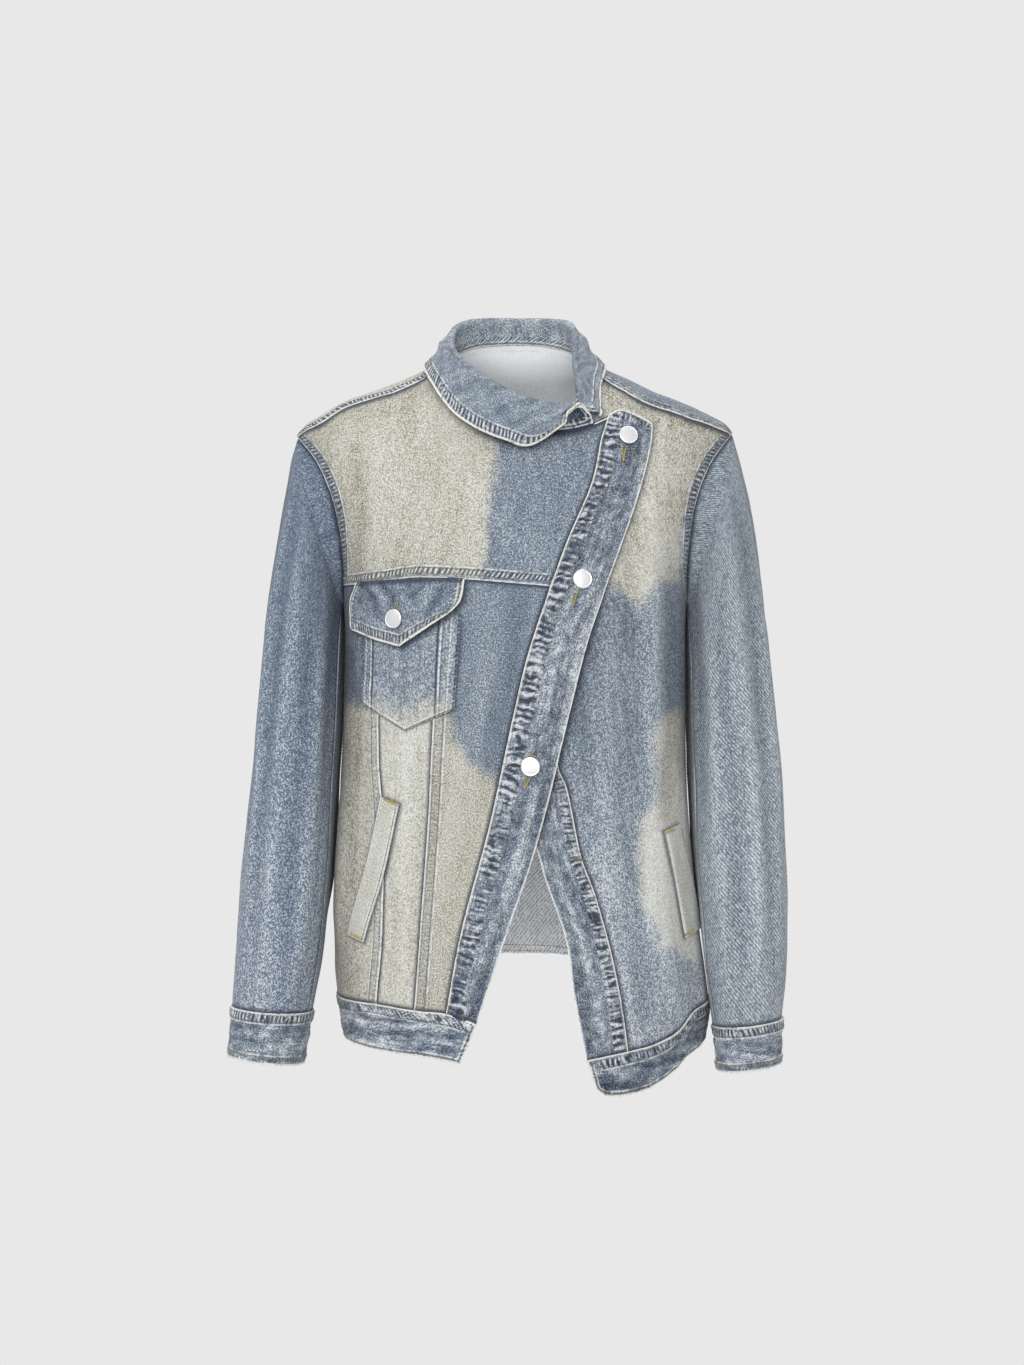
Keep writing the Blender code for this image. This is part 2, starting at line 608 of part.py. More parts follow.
def make_left_front():
    """One panel from shoulder to hem and its placket, under the right front."""
    hidden_rows = 13
    shown_rows = 13
    arm_rows = ARM_STEPS["low front"] + ARM_STEPS["yoke"]
    rows = hidden_rows + shown_rows
    arm = armhole_line(1, 0, arm_rows)
    side = side_line(1, BAND_LEFT_TOP[-1][1], arm[0][2], rows - arm_rows)
    inner = turned(join(seam(LEFT_SEAM_HIDDEN, hidden_rows), seam(LEFT_SEAM, shown_rows)))
    shoulder = pinned(seam(SHOULDER_LEFT, 7), first=arm[-1])
    hem_placket = seam(BAND_LEFT_TOP, 3, last=1)
    hem = pinned(seam(BAND_LEFT_TOP, 13, first=1), last=side[0])
    neck = join(seam(NECK_LEFT, COLLAR_STEPS["left"], last=2), seam(NECK_LEFT, 3, first=2))
    panel("left_front", hem, turned(join(shoulder, neck)), inner, join(side, arm), DENIM_BLUE)
    panel("left_placket", hem_placket, turned(seam(NECK_LEFT_END, 3)), turned(seam(LEFT_EDGE, rows)),
          inner, DENIM_BLUE, lambda point: 0.4, HIDDEN_BAND_CLOTH)
    band("waistband_left", seam(BAND_LEFT_HEM, 16), join(hem_placket, hem), lambda point: BAND_STEP)


def make_back():
    """Yoke over the shoulders and three panels below it."""
    arm_rows = ARM_STEPS["yoke"]
    low_rows = 15
    under_rows = ARM_STEPS["low back"]
    tip_step = ARM_STEPS["low front"] + ARM_STEPS["yoke"]
    right_arm = armhole_line(-1, tip_step + arm_rows, tip_step)
    left_arm = armhole_line(1, tip_step + arm_rows, tip_step)
    shoulder_right = pinned(seam(SHOULDER_RIGHT, 7), first=right_arm[-1])
    shoulder_left = pinned(seam(SHOULDER_LEFT, 7), first=left_arm[-1])
    neck = pinned(seam(NECK_BACK, COLLAR_STEPS["back"]), shoulder_right[-1], shoulder_left[-1])
    yoke_right = pinned(seam(YOKE_BACK, 7, "back", last=1), first=right_arm[0])
    yoke_centre = seam(YOKE_BACK, 12, "back", first=1, last=3)
    yoke_left = pinned(seam(YOKE_BACK, 7, "back", first=3), last=left_arm[0])
    panel("back_yoke", join(yoke_right, yoke_centre, yoke_left),
          join(shoulder_right, neck, turned(shoulder_left)), right_arm, left_arm, DENIM_BLUE)

    right_under = armhole_line(-1, tip_step + arm_rows + under_rows, tip_step + arm_rows)
    left_under = armhole_line(1, tip_step + arm_rows + under_rows, tip_step + arm_rows)
    side_rows = low_rows - under_rows
    right_side = join(side_line(-1, BAND_RIGHT_TOP[0][1], right_under[0][2], side_rows), right_under)
    left_side = join(side_line(1, BAND_LEFT_TOP[-1][1], left_under[0][2], side_rows), left_under)
    seam_right = turned(seam(BACK_SEAM_RIGHT, low_rows, "back"))
    seam_left = turned(seam(BACK_SEAM_LEFT, low_rows, "back"))
    hem_right = pinned(seam(BAND_BACK_TOP, 7, "back", last=2), first=right_side[0])
    hem_centre = seam(BAND_BACK_TOP, 12, "back", first=2, last=4)
    hem_left = pinned(seam(BAND_BACK_TOP, 7, "back", first=4), last=left_side[0])
    panel("back_side_right", hem_right, yoke_right, right_side, seam_right, DENIM_BLUE)
    panel("back_centre", hem_centre, yoke_centre, seam_right, seam_left, DENIM_BLUE)
    panel("back_side_left", hem_left, yoke_left, seam_left, left_side, DENIM_BLUE)
    band("waistband_back", seam(BAND_BACK_HEM, 26, "back"), join(hem_right, hem_centre, hem_left),
         lambda point: BAND_STEP)


def band(name, low, high, lift):
    """A stretch of the hem band, below the panels' lower edge."""
    first = [low[0] + (high[0] - low[0]) * k / 2 for k in range(3)]
    last = [low[-1] + (high[-1] - low[-1]) * k / 2 for k in range(3)]
    panel(name, low, high, first, last, DENIM_BLUE, lift, BAND_CLOTH)


def flap_lift(z):
    """How far the pocket flap's outer face stands off the front, more towards its tip."""
    return 2 * LAYER_GAP + POCKET_CLOTH + FLAP_CLOTH + FLAP_STAND * (FLAP["top"][0][1] - z) / 60


def make_pockets():
    """Chest pocket with its pointed flap and the two slanted welts."""
    on_panel("chest_pocket", POCKET, 8, 7, DENIM_BLUE,
             lambda point: front_lift(point) + LAYER_GAP + POCKET_CLOTH, POCKET_CLOTH)
    on_panel("chest_flap", FLAP, 8, 4, DENIM_BLUE,
             lambda point: front_lift(point) + flap_lift(point[2]), FLAP_CLOTH)
    on_panel("welt_right", WELT_RIGHT, 2, 8, DENIM_PALE,
             lambda point: front_lift(point) + LAYER_GAP + FLAP_CLOTH, FLAP_CLOTH)
    on_panel("welt_left", WELT_LEFT, 2, 8, DENIM_PALE, lambda point: LAYER_GAP + FLAP_CLOTH, FLAP_CLOTH)


def section_point(row, turn):
    """A point of a sleeve section; turn 0 is its inner side, 0.25 its front, 0.5 its outer side."""
    outer_x, outer_z, inner_x, inner_z, front, back, middle, power = row
    angle = 2 * math.pi * turn
    along = math.cos(angle)
    across = math.sin(angle)
    along = math.copysign(abs(along) ** (2 / power), along)
    across = math.copysign(abs(across) ** (2 / power), across)
    reach = front if across > 0 else back
    x = (outer_x + inner_x) / 2 + (inner_x - outer_x) / 2 * along
    z = (outer_z + inner_z) / 2 + (inner_z - outer_z) / 2 * along
    return np.array([x, middle - reach * across, z])


def sleeve_fold(turn, along):
    total = 0.0
    for place, start, end, width, rise in SLEEVE_FOLDS:
        if along <= start or along >= end:
            continue
        gap = (turn - place + 0.5) % 1.0 - 0.5
        share = (along - start) / (end - start)
        total += rise * math.exp(-(gap / width) ** 2) * math.sin(math.pi * share) ** 0.8
    return total


def make_sleeve(side, sign, table, cuff_end):
    """Top and under sleeve from the armhole to the cuff, then the cuff."""
    rows = 22
    turns = armhole_turns(sign)[:-1]
    segments = len(turns)
    data = np.array([(k,) + row for k, row in enumerate(table)], dtype=float)
    last = len(table) - 1
    first_ring = []
    for turn in turns:
        point = armhole_point(sign, turn)
        normal = body_normal(point)
        inward = np.array([point[0], ARMHOLES[sign]["middle"], ARMHOLES[sign]["height"]]) - point
        inward = inward - normal * inward.dot(normal)
        inward = inward / np.linalg.norm(inward)
        first_ring.append(point + normal * (SEAM_GAP + body_fold(point)) + inward * SEAM_GAP)
    rings = [first_ring]
    for r in range(1, rows + 1):
        along = (r - 1) / (rows - 1)
        row = smooth_row(data, along * last)
        plain = np.array([section_point(row, turn) for turn in turns])
        middle = plain.mean(axis=0)
        ring = []
        for turn, point in zip(turns, plain):
            away = point - middle
            point = point + away / np.linalg.norm(away) * sleeve_fold(turn, along)
            ring.append(clear_of_body(point, 0.8 + body_fold(point)))
        rings.append(ring)
    outer = np.array(rings)
    inner = outer.copy()
    for r in range(rows + 1):
        middle = outer[r].mean(axis=0)
        for c in range(segments):
            around = outer[r, (c + 1) % segments] - outer[r, c - 1]
            down = outer[min(max(r, 1) + 1, rows), c] - outer[max(r - 1, 1), c]
            normal = np.cross(around, down)
            normal = normal / np.linalg.norm(normal)
            if normal.dot(outer[r, c] - middle) < 0:
                normal = -normal
            inner[r, c] = outer[r, c] - normal * CLOTH
    under_seam = 1
    back_seam = ARM_STEPS["low front"] + ARM_STEPS["yoke"] + 5
    spans = {"top": range(under_seam, back_seam + 1), "under": range(back_seam, segments + under_seam + 1)}
    for name, span in spans.items():
        columns = [k % segments for k in span]
        wall("sleeve_%s_%s" % (side, name), trim_edges(outer[:, columns], SEAM_GAP / 2, "lrt"),
             trim_edges(inner[:, columns], SEAM_GAP / 2, "lrt"), DENIM_BLUE)

    cuff_rows = []
    start = np.array(table[-1], dtype=float)
    finish = np.array(cuff_end, dtype=float)
    for r in range(3):
        share = r / 2
        row = start + (finish - start) * share
        ring = np.array([section_point(row, turn) for turn in turns])
        middle = ring.mean(axis=0)
        shifted = []
        for point in ring:
            away = point - middle
            away[2] = 0
            away = away / np.linalg.norm(away)
            shifted.append(point + away * CUFF_STEP + np.array([0, 0, -0.5 if r == 0 else 0.0]))
        cuff_rows.append(np.array(shifted))
    cuff_outer = np.array(cuff_rows)
    cuff_inner = cuff_outer.copy()
    for r in range(3):
        middle = cuff_outer[r].mean(axis=0)
        for c in range(segments):
            away = cuff_outer[r, c] - middle
            away[2] = 0
            cuff_inner[r, c] -= away / np.linalg.norm(away) * BAND_CLOTH
    wall("cuff_%s" % side, cuff_outer, cuff_inner, DENIM_BLUE, round_closed=True)


def neckline():
    """Where the collar's cloth starts: just inside the panels' neck edges, in the middle of their wall.
    It has a point at each corner of those edges and one midway."""
    right = turned(seam(NECK_RIGHT, COLLAR_STEPS["right"], last=7))
    back = seam(NECK_BACK, COLLAR_STEPS["back"])
    left = seam(NECK_LEFT, COLLAR_STEPS["left"], last=2)
    line = []
    for k, point in enumerate(join(right, back, left)):
        normal = body_normal(point)
        away = NECK_MIDDLE - point
        away = away - normal * away.dot(normal)
        away = away / np.linalg.norm(away)
        lift = front_lift(point) if k < COLLAR_STEPS["right"] else 0.0
        line.append(point + normal * (lift - CLOTH / 2) + away * COLLAR_INSET)
    whole = [line[0]]
    for before, after in zip(line, line[1:]):
        whole.extend(((before + after) / 2, after))
    return whole


def collar_places():
    """For each point of the neckline, the place between the rows of the collar's table."""
    places = [0.0]
    for start, end, side in zip(COLLAR_CORNERS, COLLAR_CORNERS[1:], ("right", "back", "left")):
        steps = 2 * COLLAR_STEPS[side]
        places.extend(start + (end - start) * (k + 1) / steps for k in range(steps))
    return places


def clear_of_body(point, lift):
    """The point moved out until it lies at least this far off the body's form."""
    slope = outward(point)
    length = np.linalg.norm(slope)
    short = lift - form(point) / length
    return point + slope / length * max(short, 0.0)


def make_collar():
    """One folded cloth: it stands up from the neck seam, turns over the roll and falls outside."""
    leaf_start = 4
    seams = neckline()
    count = len(seams) - 1
    rails = smooth_steps([row[0] + row[1] for row in COLLAR], collar_places())
    profile_count = 9
    grid = np.zeros((profile_count, count + 1, 3))
    for c in range(count + 1):
        low = seams[c]
        roll = rails[c][:3]
        fall = rails[c][3:]
        out = np.array([roll[0], roll[1], 0.0])
        out = out / np.linalg.norm(out)
        turn_down = np.array([0, 0, COLLAR_FOLD])
        inside = roll - out * COLLAR_FOLD
        outside = roll + out * COLLAR_FOLD
        belly = fall * 0.5 + outside * 0.5 + out * COLLAR_BELLY
        profile = smooth_curve([low, low * 0.45 + inside * 0.55, inside - turn_down, roll,
                                outside - turn_down, belly, fall])
        for r in range(profile_count):
            point = profile(r / (profile_count - 1))
            if r > leaf_start:
                lift = CLOTH / 2 + COLLAR_STAND + body_fold(point)
                if point[1] < 0:
                    lift += front_lift(point)
                point = clear_of_body(point, lift)
            grid[r, c] = point
    normals = np.zeros_like(grid)
    for r in range(profile_count):
        for c in range(count + 1):
            along = grid[r, min(c + 1, count)] - grid[r, max(c - 1, 0)]
            rising = grid[min(r + 1, profile_count - 1), c] - grid[max(r - 1, 0), c]
            normal = np.cross(rising, along)
            normals[r, c] = normal / np.linalg.norm(normal)
    wall("collar", grid + normals * CLOTH / 2, grid - normals * CLOTH / 2, DENIM_BLUE)


def make_button(name, x, z):
    """A domed metal cap with a rolled rim, standing just off the cloth."""
    is_flap = name == "button_flap"
    foot = onto_body(on_side(x, z, "front"))
    normal = body_normal(foot)
    across = np.cross(np.array([0, 0, 1.0]), normal)
    across = across / np.linalg.norm(across)
    upward = np.cross(normal, across)
    highest = -100.0
    for k in range(9):
        angle = 2 * math.pi * k / 8
        reach = BUTTON_RADIUS if k < 8 else 0.0
        near = onto_body(foot + (across * math.cos(angle) + upward * math.sin(angle)) * reach)
        lift = front_lift(near) + flap_lift(z) if is_flap else placket_lift(near)
        top = near + body_normal(near) * (lift + body_fold(near))
        highest = max(highest, (top - foot).dot(normal))
    foot = foot + normal * (highest + 0.4)
    profile = ((0.80, 0.0), (1.0, 0.28), (1.0, 0.55), (0.93, 0.80), (0.84, 0.84), (0.60, 0.95))
    points = []
    for share, height in profile:
        for k in range(BUTTON_SIDES):
            angle = 2 * math.pi * k / BUTTON_SIDES
            ring = across * math.cos(angle) + upward * math.sin(angle)
            points.append(foot + ring * BUTTON_RADIUS * share + normal * BUTTON_HEIGHT * height)
    faces = [tuple(range(BUTTON_SIDES))]
    for r in range(len(profile) - 1):
        for k in range(BUTTON_SIDES):
            a = r * BUTTON_SIDES + k
            b = r * BUTTON_SIDES + (k + 1) % BUTTON_SIDES
            faces.append((a, b, b + BUTTON_SIDES, a + BUTTON_SIDES))
    top = len(points)
    points.append(foot + normal * BUTTON_HEIGHT)
    ring = (len(profile) - 1) * BUTTON_SIDES
    for k in range(BUTTON_SIDES):
        faces.append((ring + k, ring + (k + 1) % BUTTON_SIDES, top))
    make_object(name, points, faces, STEEL, metallic=1.0, roughness=0.3)


for old in list(bpy.data.objects):
    bpy.data.objects.remove(old)

make_right_front()
make_left_front()
make_back()
make_pockets()
make_collar()
make_sleeve("right", -1, SLEEVE_RIGHT, CUFF_RIGHT_END)
make_sleeve("left", 1, SLEEVE_LEFT, CUFF_LEFT_END)
for button_name, (button_x, button_z) in BUTTONS.items():
    make_button(button_name, button_x, button_z)
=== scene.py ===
# Denim jacket, dressed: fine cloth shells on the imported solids' forms, with their seams,
# stitches, puckers, wash and buttons.  Lengths are in millimetres until a mesh is made.
import math

import bmesh
import bpy
import numpy as np
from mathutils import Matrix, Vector


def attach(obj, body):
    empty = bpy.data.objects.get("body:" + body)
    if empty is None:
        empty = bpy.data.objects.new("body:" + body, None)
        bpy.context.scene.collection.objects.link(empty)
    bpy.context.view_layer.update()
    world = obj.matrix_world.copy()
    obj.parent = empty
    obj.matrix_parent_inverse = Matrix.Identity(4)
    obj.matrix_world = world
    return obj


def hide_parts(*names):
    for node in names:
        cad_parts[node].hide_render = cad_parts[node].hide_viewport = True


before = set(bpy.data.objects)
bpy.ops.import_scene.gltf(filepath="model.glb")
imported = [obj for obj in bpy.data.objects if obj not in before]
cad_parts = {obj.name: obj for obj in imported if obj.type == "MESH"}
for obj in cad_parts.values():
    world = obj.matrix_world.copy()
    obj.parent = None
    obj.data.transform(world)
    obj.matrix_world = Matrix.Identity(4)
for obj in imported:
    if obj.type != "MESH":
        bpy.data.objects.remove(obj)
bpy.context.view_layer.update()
print("frame loaded:", len(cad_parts), "nodes")

mm = 0.001

# Values that several pieces share.
garment = {
    "cloth": 1.6,          # denim wall
    "bandCloth": 2.6,      # folded bands
    "hiddenBand": 2.0,     # the left placket
    "pocketCloth": 1.0,
    "flapCloth": 1.8,      # the pocket flap and the welts
    "bandStep": 0.9,       # the bands, out from the panels
    "weltStep": 2.5,       # and the welts
    "overlapLift": 3.4,    # the right front off the left one
    "stitchPitch": 3.1,
    "threadRadius": 0.34,
    "foldRadius": 0.62,    # the worn roll of cloth along a folded edge
}

# Level sections of the body: height, right, left, front, back, middle, power.
torsoRows = np.array([
    (-720, 160, 176, 123, 104, 8, 2.35),
    (-660, 160, 178, 123, 104, 8, 2.35),
    (-630, 162, 181, 122, 104, 8, 2.35),
    (-600, 166, 183, 122, 103, 8, 2.35),
    (-560, 170, 178, 121, 101, 8, 2.35),
    (-520, 170, 172, 121, 99, 8, 2.35),
    (-480, 168, 168, 121, 96, 8, 2.35),
    (-420, 165.5, 164, 122, 93, 8, 2.35),
    (-360, 163, 163, 124, 94, 8, 2.35),
    (-300, 161, 162.5, 126, 99, 7, 2.35),
    (-250, 160, 162.5, 127, 105, 6, 2.35),
    (-200, 164, 166, 121, 112, 4, 2.35),
    (-160, 174, 176, 114, 112, 4, 2.35),
    (-120, 188, 189, 103, 107, 4, 2.3),
    (-90, 198, 200, 94, 101, 5, 2.25),
    (-64, 204.5, 207, 83, 94, 5, 2.2),
    (-53, 200, 204, 80, 91, 5, 2.15),
    (-42, 185, 187, 76, 86, 5, 2.1),
    (-30, 165, 162, 71, 80, 5, 2.05),
    (-19, 135, 133, 67, 73, 5, 2.0),
    (-8, 106, 111, 62, 65, 4, 2.0),
    (4, 80, 84, 57, 57, 3, 2.0),
    (20, 66, 68, 54, 53, 2, 2.0),
    (60, 60, 61, 50, 50, 2, 2.0),
], dtype=float)

# Armholes, ovals in side view.
armholes = {
    -1: {"height": -142, "halfHeight": 80, "front": 54, "back": 60, "middle": 4, "tip": 0.475},
    1: {"height": -139, "halfHeight": 81, "front": 54, "back": 60, "middle": 4, "tip": 0.455},
}
armSteps = {"lowFront": 2, "yoke": 8, "lowBack": 3}

# Soft folds of the body: side, x, top, bottom, lean, half-width, rise (- is a trough).
mainFolds = (
    ("front", 128, -90, -600, 0.02, 16, 3.2),
    ("front", 100, -150, -560, 0.02, 15, -2.4),
    ("front", 146, -190, -420, 0.0, 12, -2.6),
    ("front", 70, -330, -600, 0.06, 20, 2.2),
    ("front", -142, -185, -300, 0.05, 10, -2.6),
    ("front", -30, -230, -520, -0.08, 22, 1.8),
    ("front", -108, -400, -600, -0.03, 14, 1.6),
    ("front", 159, -370, -650, 0.09, 10, 8.0),
    ("front", -163, -385, -550, -0.02, 8, 7.0),
    ("back", -95, -140, -500, 0.06, 22, -2.6),
    ("back", -40, -180, -540, 0.02, 24, 2.8),
    ("back", 52, -160, -540, -0.03, 24, 2.4),
    ("back", 104, -150, -500, -0.05, 20, -2.8),
)


def smoothStep(value, low, high):
    share = np.clip((value - low) / (high - low), 0.0, 1.0)
    return share * share * (3 - 2 * share)


noiseTable = np.random.default_rng(11).uniform(-1.0, 1.0, 4096)


def softNoise(points, size, seed=0):
    # Smooth values from -1 to 1 that change over lengths of about size.
    places = np.asarray(points, dtype=float) / np.asarray(size, dtype=float) + 31.7 * (seed + 1)
    cell = np.floor(places).astype(np.int64)
    share = places - cell
    share = share * share * (3 - 2 * share)
    total = np.zeros(places.shape[:-1])
    for corner in np.ndindex(2, 2, 2):
        near = cell + np.array(corner)
        pick = (near[..., 0] * 73856093 ^ near[..., 1] * 19349663 ^ near[..., 2] * 83492791) & 4095
        weight = np.prod(np.where(np.array(corner) == 1, share, 1 - share), axis=-1)
        total += noiseTable[pick] * weight
    return total


def lineNoise(along, size, seed=0):
    along = np.asarray(along, dtype=float)
    return softNoise(np.stack((along, along * 0 + 3.1, along * 0 + 7.7), axis=-1), size, seed)


def readTable(rows, places):
    # A table read smoothly by its first column, without overshoot.
    stops = rows[:, 0]
    values = rows[:, 1:]
    rise = np.diff(values, axis=0) / np.diff(stops)[:, None]
    slopes = np.empty_like(values)
    slopes[0] = rise[0]
    slopes[-1] = rise[-1]
    both = rise[:-1] * rise[1:]
    total = rise[:-1] + rise[1:]
    slopes[1:-1] = np.where(both > 0, 2 * both / np.where(both > 0, total, 1.0), 0.0)
    places = np.clip(places, stops[0], stops[-1])
    low = np.clip(np.searchsorted(stops, places) - 1, 0, len(stops) - 2)
    step = (stops[low + 1] - stops[low])[..., None]
    t = (places - stops[low])[..., None] / step
    return ((2 * t ** 3 - 3 * t ** 2 + 1) * values[low] + (t ** 3 - 2 * t ** 2 + t) * step * slopes[low]
            + (3 * t ** 2 - 2 * t ** 3) * values[low + 1] + (t ** 3 - t ** 2) * step * slopes[low + 1])


def bodyForm(points):
    # Below 0 inside the body, above 0 outside.
    x, y = points[..., 0], points[..., 1]
    row = readTable(torsoRows, points[..., 2])
    across = np.abs(x) / np.where(x < 0, row[..., 0], row[..., 1])
    deep = np.abs(y - row[..., 4]) / np.where(y < row[..., 4], row[..., 2], row[..., 3])
    power = row[..., 5]
    return (across ** power + deep ** power) ** (1 / power) - 1


def bodySlope(points):
    step = 0.5
    return np.stack([bodyForm(points + step * axis) - bodyForm(points - step * axis) for axis in np.eye(3)],
                    axis=-1) / (2 * step)


def ontoBody(points, rounds=12):
    points = np.array(points, dtype=float)
    for _ in range(rounds):
        value = bodyForm(points)[..., None]
        if np.abs(value).max() < 1e-6:
            break
        slope = bodySlope(points)
        move = value * slope / (slope ** 2).sum(axis=-1, keepdims=True)
        length = np.linalg.norm(move, axis=-1, keepdims=True)
        points = points - move * np.minimum(1.0, 15.0 / (length + 1e-9))
    return points


def unit(vectors):
    return vectors / np.maximum(np.linalg.norm(vectors, axis=-1, keepdims=True), 1e-9)


def bodyNormal(points):
    return unit(bodySlope(points))


def clearOfBody(points, lift):
    slope = bodySlope(points)
    length = np.linalg.norm(slope, axis=-1)
    short = np.maximum(lift - bodyForm(points) / length, 0.0)
    return points + slope * (short / length)[..., None]


def onSide(x, z, side):
    # The surface point behind (x, z) of a front or a back view.
    row = readTable(torsoRows, np.array([float(z)]))[0]
    share = min(abs(x) / (row[0] if x < 0 else row[1]), 1.0)
    deep = (1 - share ** row[5]) ** (1 / row[5])
    return np.array([x, row[4] - row[2] * deep if side == "front" else row[4] + row[3] * deep, z])


def bodyFold(points):
    x, y, z = points[..., 0], points[..., 1], points[..., 2]
    total = np.zeros(x.shape)
    for side, startX, top, bottom, lean, width, rise in mainFolds:
        here = (y < 0) if side == "front" else (y >= 0)
        along = np.clip((top - z) / (top - bottom), 0.0, 1.0)
        across = (x - startX - lean * (top - z)) / width
        total += np.where(here, rise * np.exp(-across ** 2) * np.sin(math.pi * along) ** 0.7, 0.0)
    return total * np.minimum(1.0, np.abs(y) / 40)


# Lines on the body, as functions of a share from 0 to 1.
def curvePlaces(points):
    spans = np.maximum(np.linalg.norm(np.diff(points, axis=0), axis=1), 1e-6)
    return np.concatenate(([0.0], np.cumsum(spans))) / spans.sum()


def smoothCurve(points):
    points = np.array(points, dtype=float)
    places = curvePlaces(points)
    ends = np.vstack((2 * points[0] - points[1], points, 2 * points[-1] - points[-2]))
    before = np.concatenate(([-places[1]], places, [2 - places[-2]]))

    def read(shares):
        shares = np.asarray(shares, dtype=float)
        k = np.clip(np.searchsorted(places, shares) - 1, 0, len(places) - 2)
        step = places[k + 1] - places[k]
        s = ((shares - places[k]) / step)[..., None]
        a = (ends[k + 2] - ends[k]) * (step / (before[k + 2] - before[k]))[..., None]
        b = (ends[k + 3] - ends[k + 1]) * (step / (before[k + 3] - before[k + 1]))[..., None]
        return ((2 * s ** 3 - 3 * s ** 2 + 1) * points[k] + (s ** 3 - 2 * s ** 2 + s) * a
                + (3 * s ** 2 - 2 * s ** 3) * points[k + 1] + (s ** 3 - s ** 2) * b)
    return read


def seamLine(view, side="front", first=0, last=None):
    corners = np.array([onSide(p[0], p[1], side) if len(p) == 2 else ontoBody(np.array(p, dtype=float))
                        for p in view])
    places = curvePlaces(corners)
    read = smoothCurve(corners)
    start = places[first]
    end = places[len(view) - 1 if last is None else last]
    return lambda shares: ontoBody(read(start + (end - start) * np.asarray(shares, dtype=float)))


def joined(*parts):
    # Lines end to end; each part is (line, its number of steps).
    stops = np.concatenate(([0.0], np.cumsum([steps for _, steps in parts])))
    stops = stops / stops[-1]

    def read(shares):
        shares = np.asarray(shares, dtype=float)
        which = np.clip(np.searchsorted(stops, shares, side="right") - 1, 0, len(parts) - 1)
        out = np.zeros(shares.shape + (3,))
        for k, (line, _) in enumerate(parts):
            here = which == k
            if here.any():
                out[here] = line((shares[here] - stops[k]) / (stops[k + 1] - stops[k]))
        return out
    return read


def turned(line):
    return lambda shares: line(1 - np.asarray(shares, dtype=float))


def pinned(line, first=None, last=None, reach=0.15):
    # The line with its ends drawn onto given points.
    def read(shares):
        shares = np.asarray(shares, dtype=float)
        out = line(shares)
        ends = line(np.array([0.0, 1.0]))
        if first is not None:
            out = out + (first - ends[0]) * np.clip(1 - shares / reach, 0, 1)[..., None] ** 2
        if last is not None:
            out = out + (last - ends[1]) * np.clip(1 - (1 - shares) / reach, 0, 1)[..., None] ** 2
        return out
    return read


def armholePoint(sign, turns):
    # Turn 0 is an armhole's lowest point, 0.25 its front and 0.5 its top.
    hole = armholes[sign]
    turns = np.asarray(turns, dtype=float)
    angle = 2 * math.pi * turns
    reach = np.where(turns < 0.5, hole["front"], hole["back"])
    y = hole["middle"] - reach * np.sin(angle)
    z = hole["height"] - hole["halfHeight"] * np.cos(angle)
    row = readTable(torsoRows, z)
    share = np.minimum(np.abs(y - row[..., 4]) / np.where(y < row[..., 4], row[..., 2], row[..., 3]), 1.0)
    half = row[..., 0] if sign < 0 else row[..., 1]
    return np.stack((sign * half * (1 - share ** row[..., 5]) ** (1 / row[..., 5]), y, z), axis=-1)


def armholeTurn(sign, z, side):
    hole = armholes[sign]
    turn = math.acos(max(-1.0, min(1.0, (hole["height"] - z) / hole["halfHeight"]))) / (2 * math.pi)
    return turn if side == "front" else 1 - turn


def armholeTurns(sign):
    # The turn at every whole step round an armhole, the same for the panels and the sleeve.
    tip = armholes[sign]["tip"]
    back = armholeTurn(sign, -165, "back")
    if sign < 0:
        stops = [(armholeTurn(sign, -203.5, "front"), armSteps["lowFront"]), (tip, armSteps["yoke"])]
    else:
        stops = [(tip, armSteps["lowFront"] + armSteps["yoke"])]
    stops += [(back, armSteps["yoke"]), (1.0, armSteps["lowBack"])]
    turns = [0.0]
    for end, steps in stops:
        start = turns[-1]
        turns.extend(start + (end - start) * (k + 1) / steps for k in range(steps))
    return np.array(turns)


def armholeLine(sign, first, last):
    turns = armholeTurns(sign)

    def read(shares):
        steps = first + (last - first) * np.asarray(shares, dtype=float)
        return armholePoint(sign, np.interp(steps, np.arange(len(turns)), turns))
    return read


def sideLine(sign, low, high):
    def read(shares):
        z = low + (high - low) * np.asarray(shares, dtype=float)
        row = readTable(torsoRows, z)
        return np.stack((-row[..., 0] if sign < 0 else row[..., 1], row[..., 4], z), axis=-1)
    return read


def clearOfArmhole(points):
    # Points of a side moved along the body until they lie outside its armhole.
    for _ in range(6):
        for sign in (-1, 1):
            hole = armholes[sign]
            reach = np.where(points[..., 1] < hole["middle"], hole["front"], hole["back"])
            deep = points[..., 1] - hole["middle"]
            tall = points[..., 2] - hole["height"]
            share = np.hypot(deep / reach, tall / hole["halfHeight"])
            inside = (share < 1.008) & (points[..., 0] * sign > 120)
            if not inside.any():
                continue
            moved = points[inside].copy()
            grow = 1.01 / np.maximum(share[inside], 0.2)
            moved[:, 1] = hole["middle"] + deep[inside] * grow
            moved[:, 2] = hole["height"] + tall[inside] * grow
            points = points.copy()
            points[inside] = ontoBody(moved)
    return points


def patch(low, high, first, last, columns, rows):
    # Surface points inside four lines: low and high run across, first and last run up.
    u = np.linspace(0, 1, columns + 1)
    v = np.linspace(0, 1, rows + 1)
    lowPoints, highPoints, firstPoints, lastPoints = low(u), high(u), first(v), last(v)
    u = u[None, :, None]
    v = v[:, None, None]
    grid = ((1 - v) * lowPoints[None] + v * highPoints[None] + (1 - u) * firstPoints[:, None]
            + u * lastPoints[:, None] - (1 - u) * (1 - v) * lowPoints[0] - u * (1 - v) * lowPoints[-1]
            - (1 - u) * v * highPoints[0] - u * v * highPoints[-1])
    grid = ontoBody(grid)
    grid[1:-1, 1:-1] = clearOfArmhole(grid[1:-1, 1:-1])
    return grid


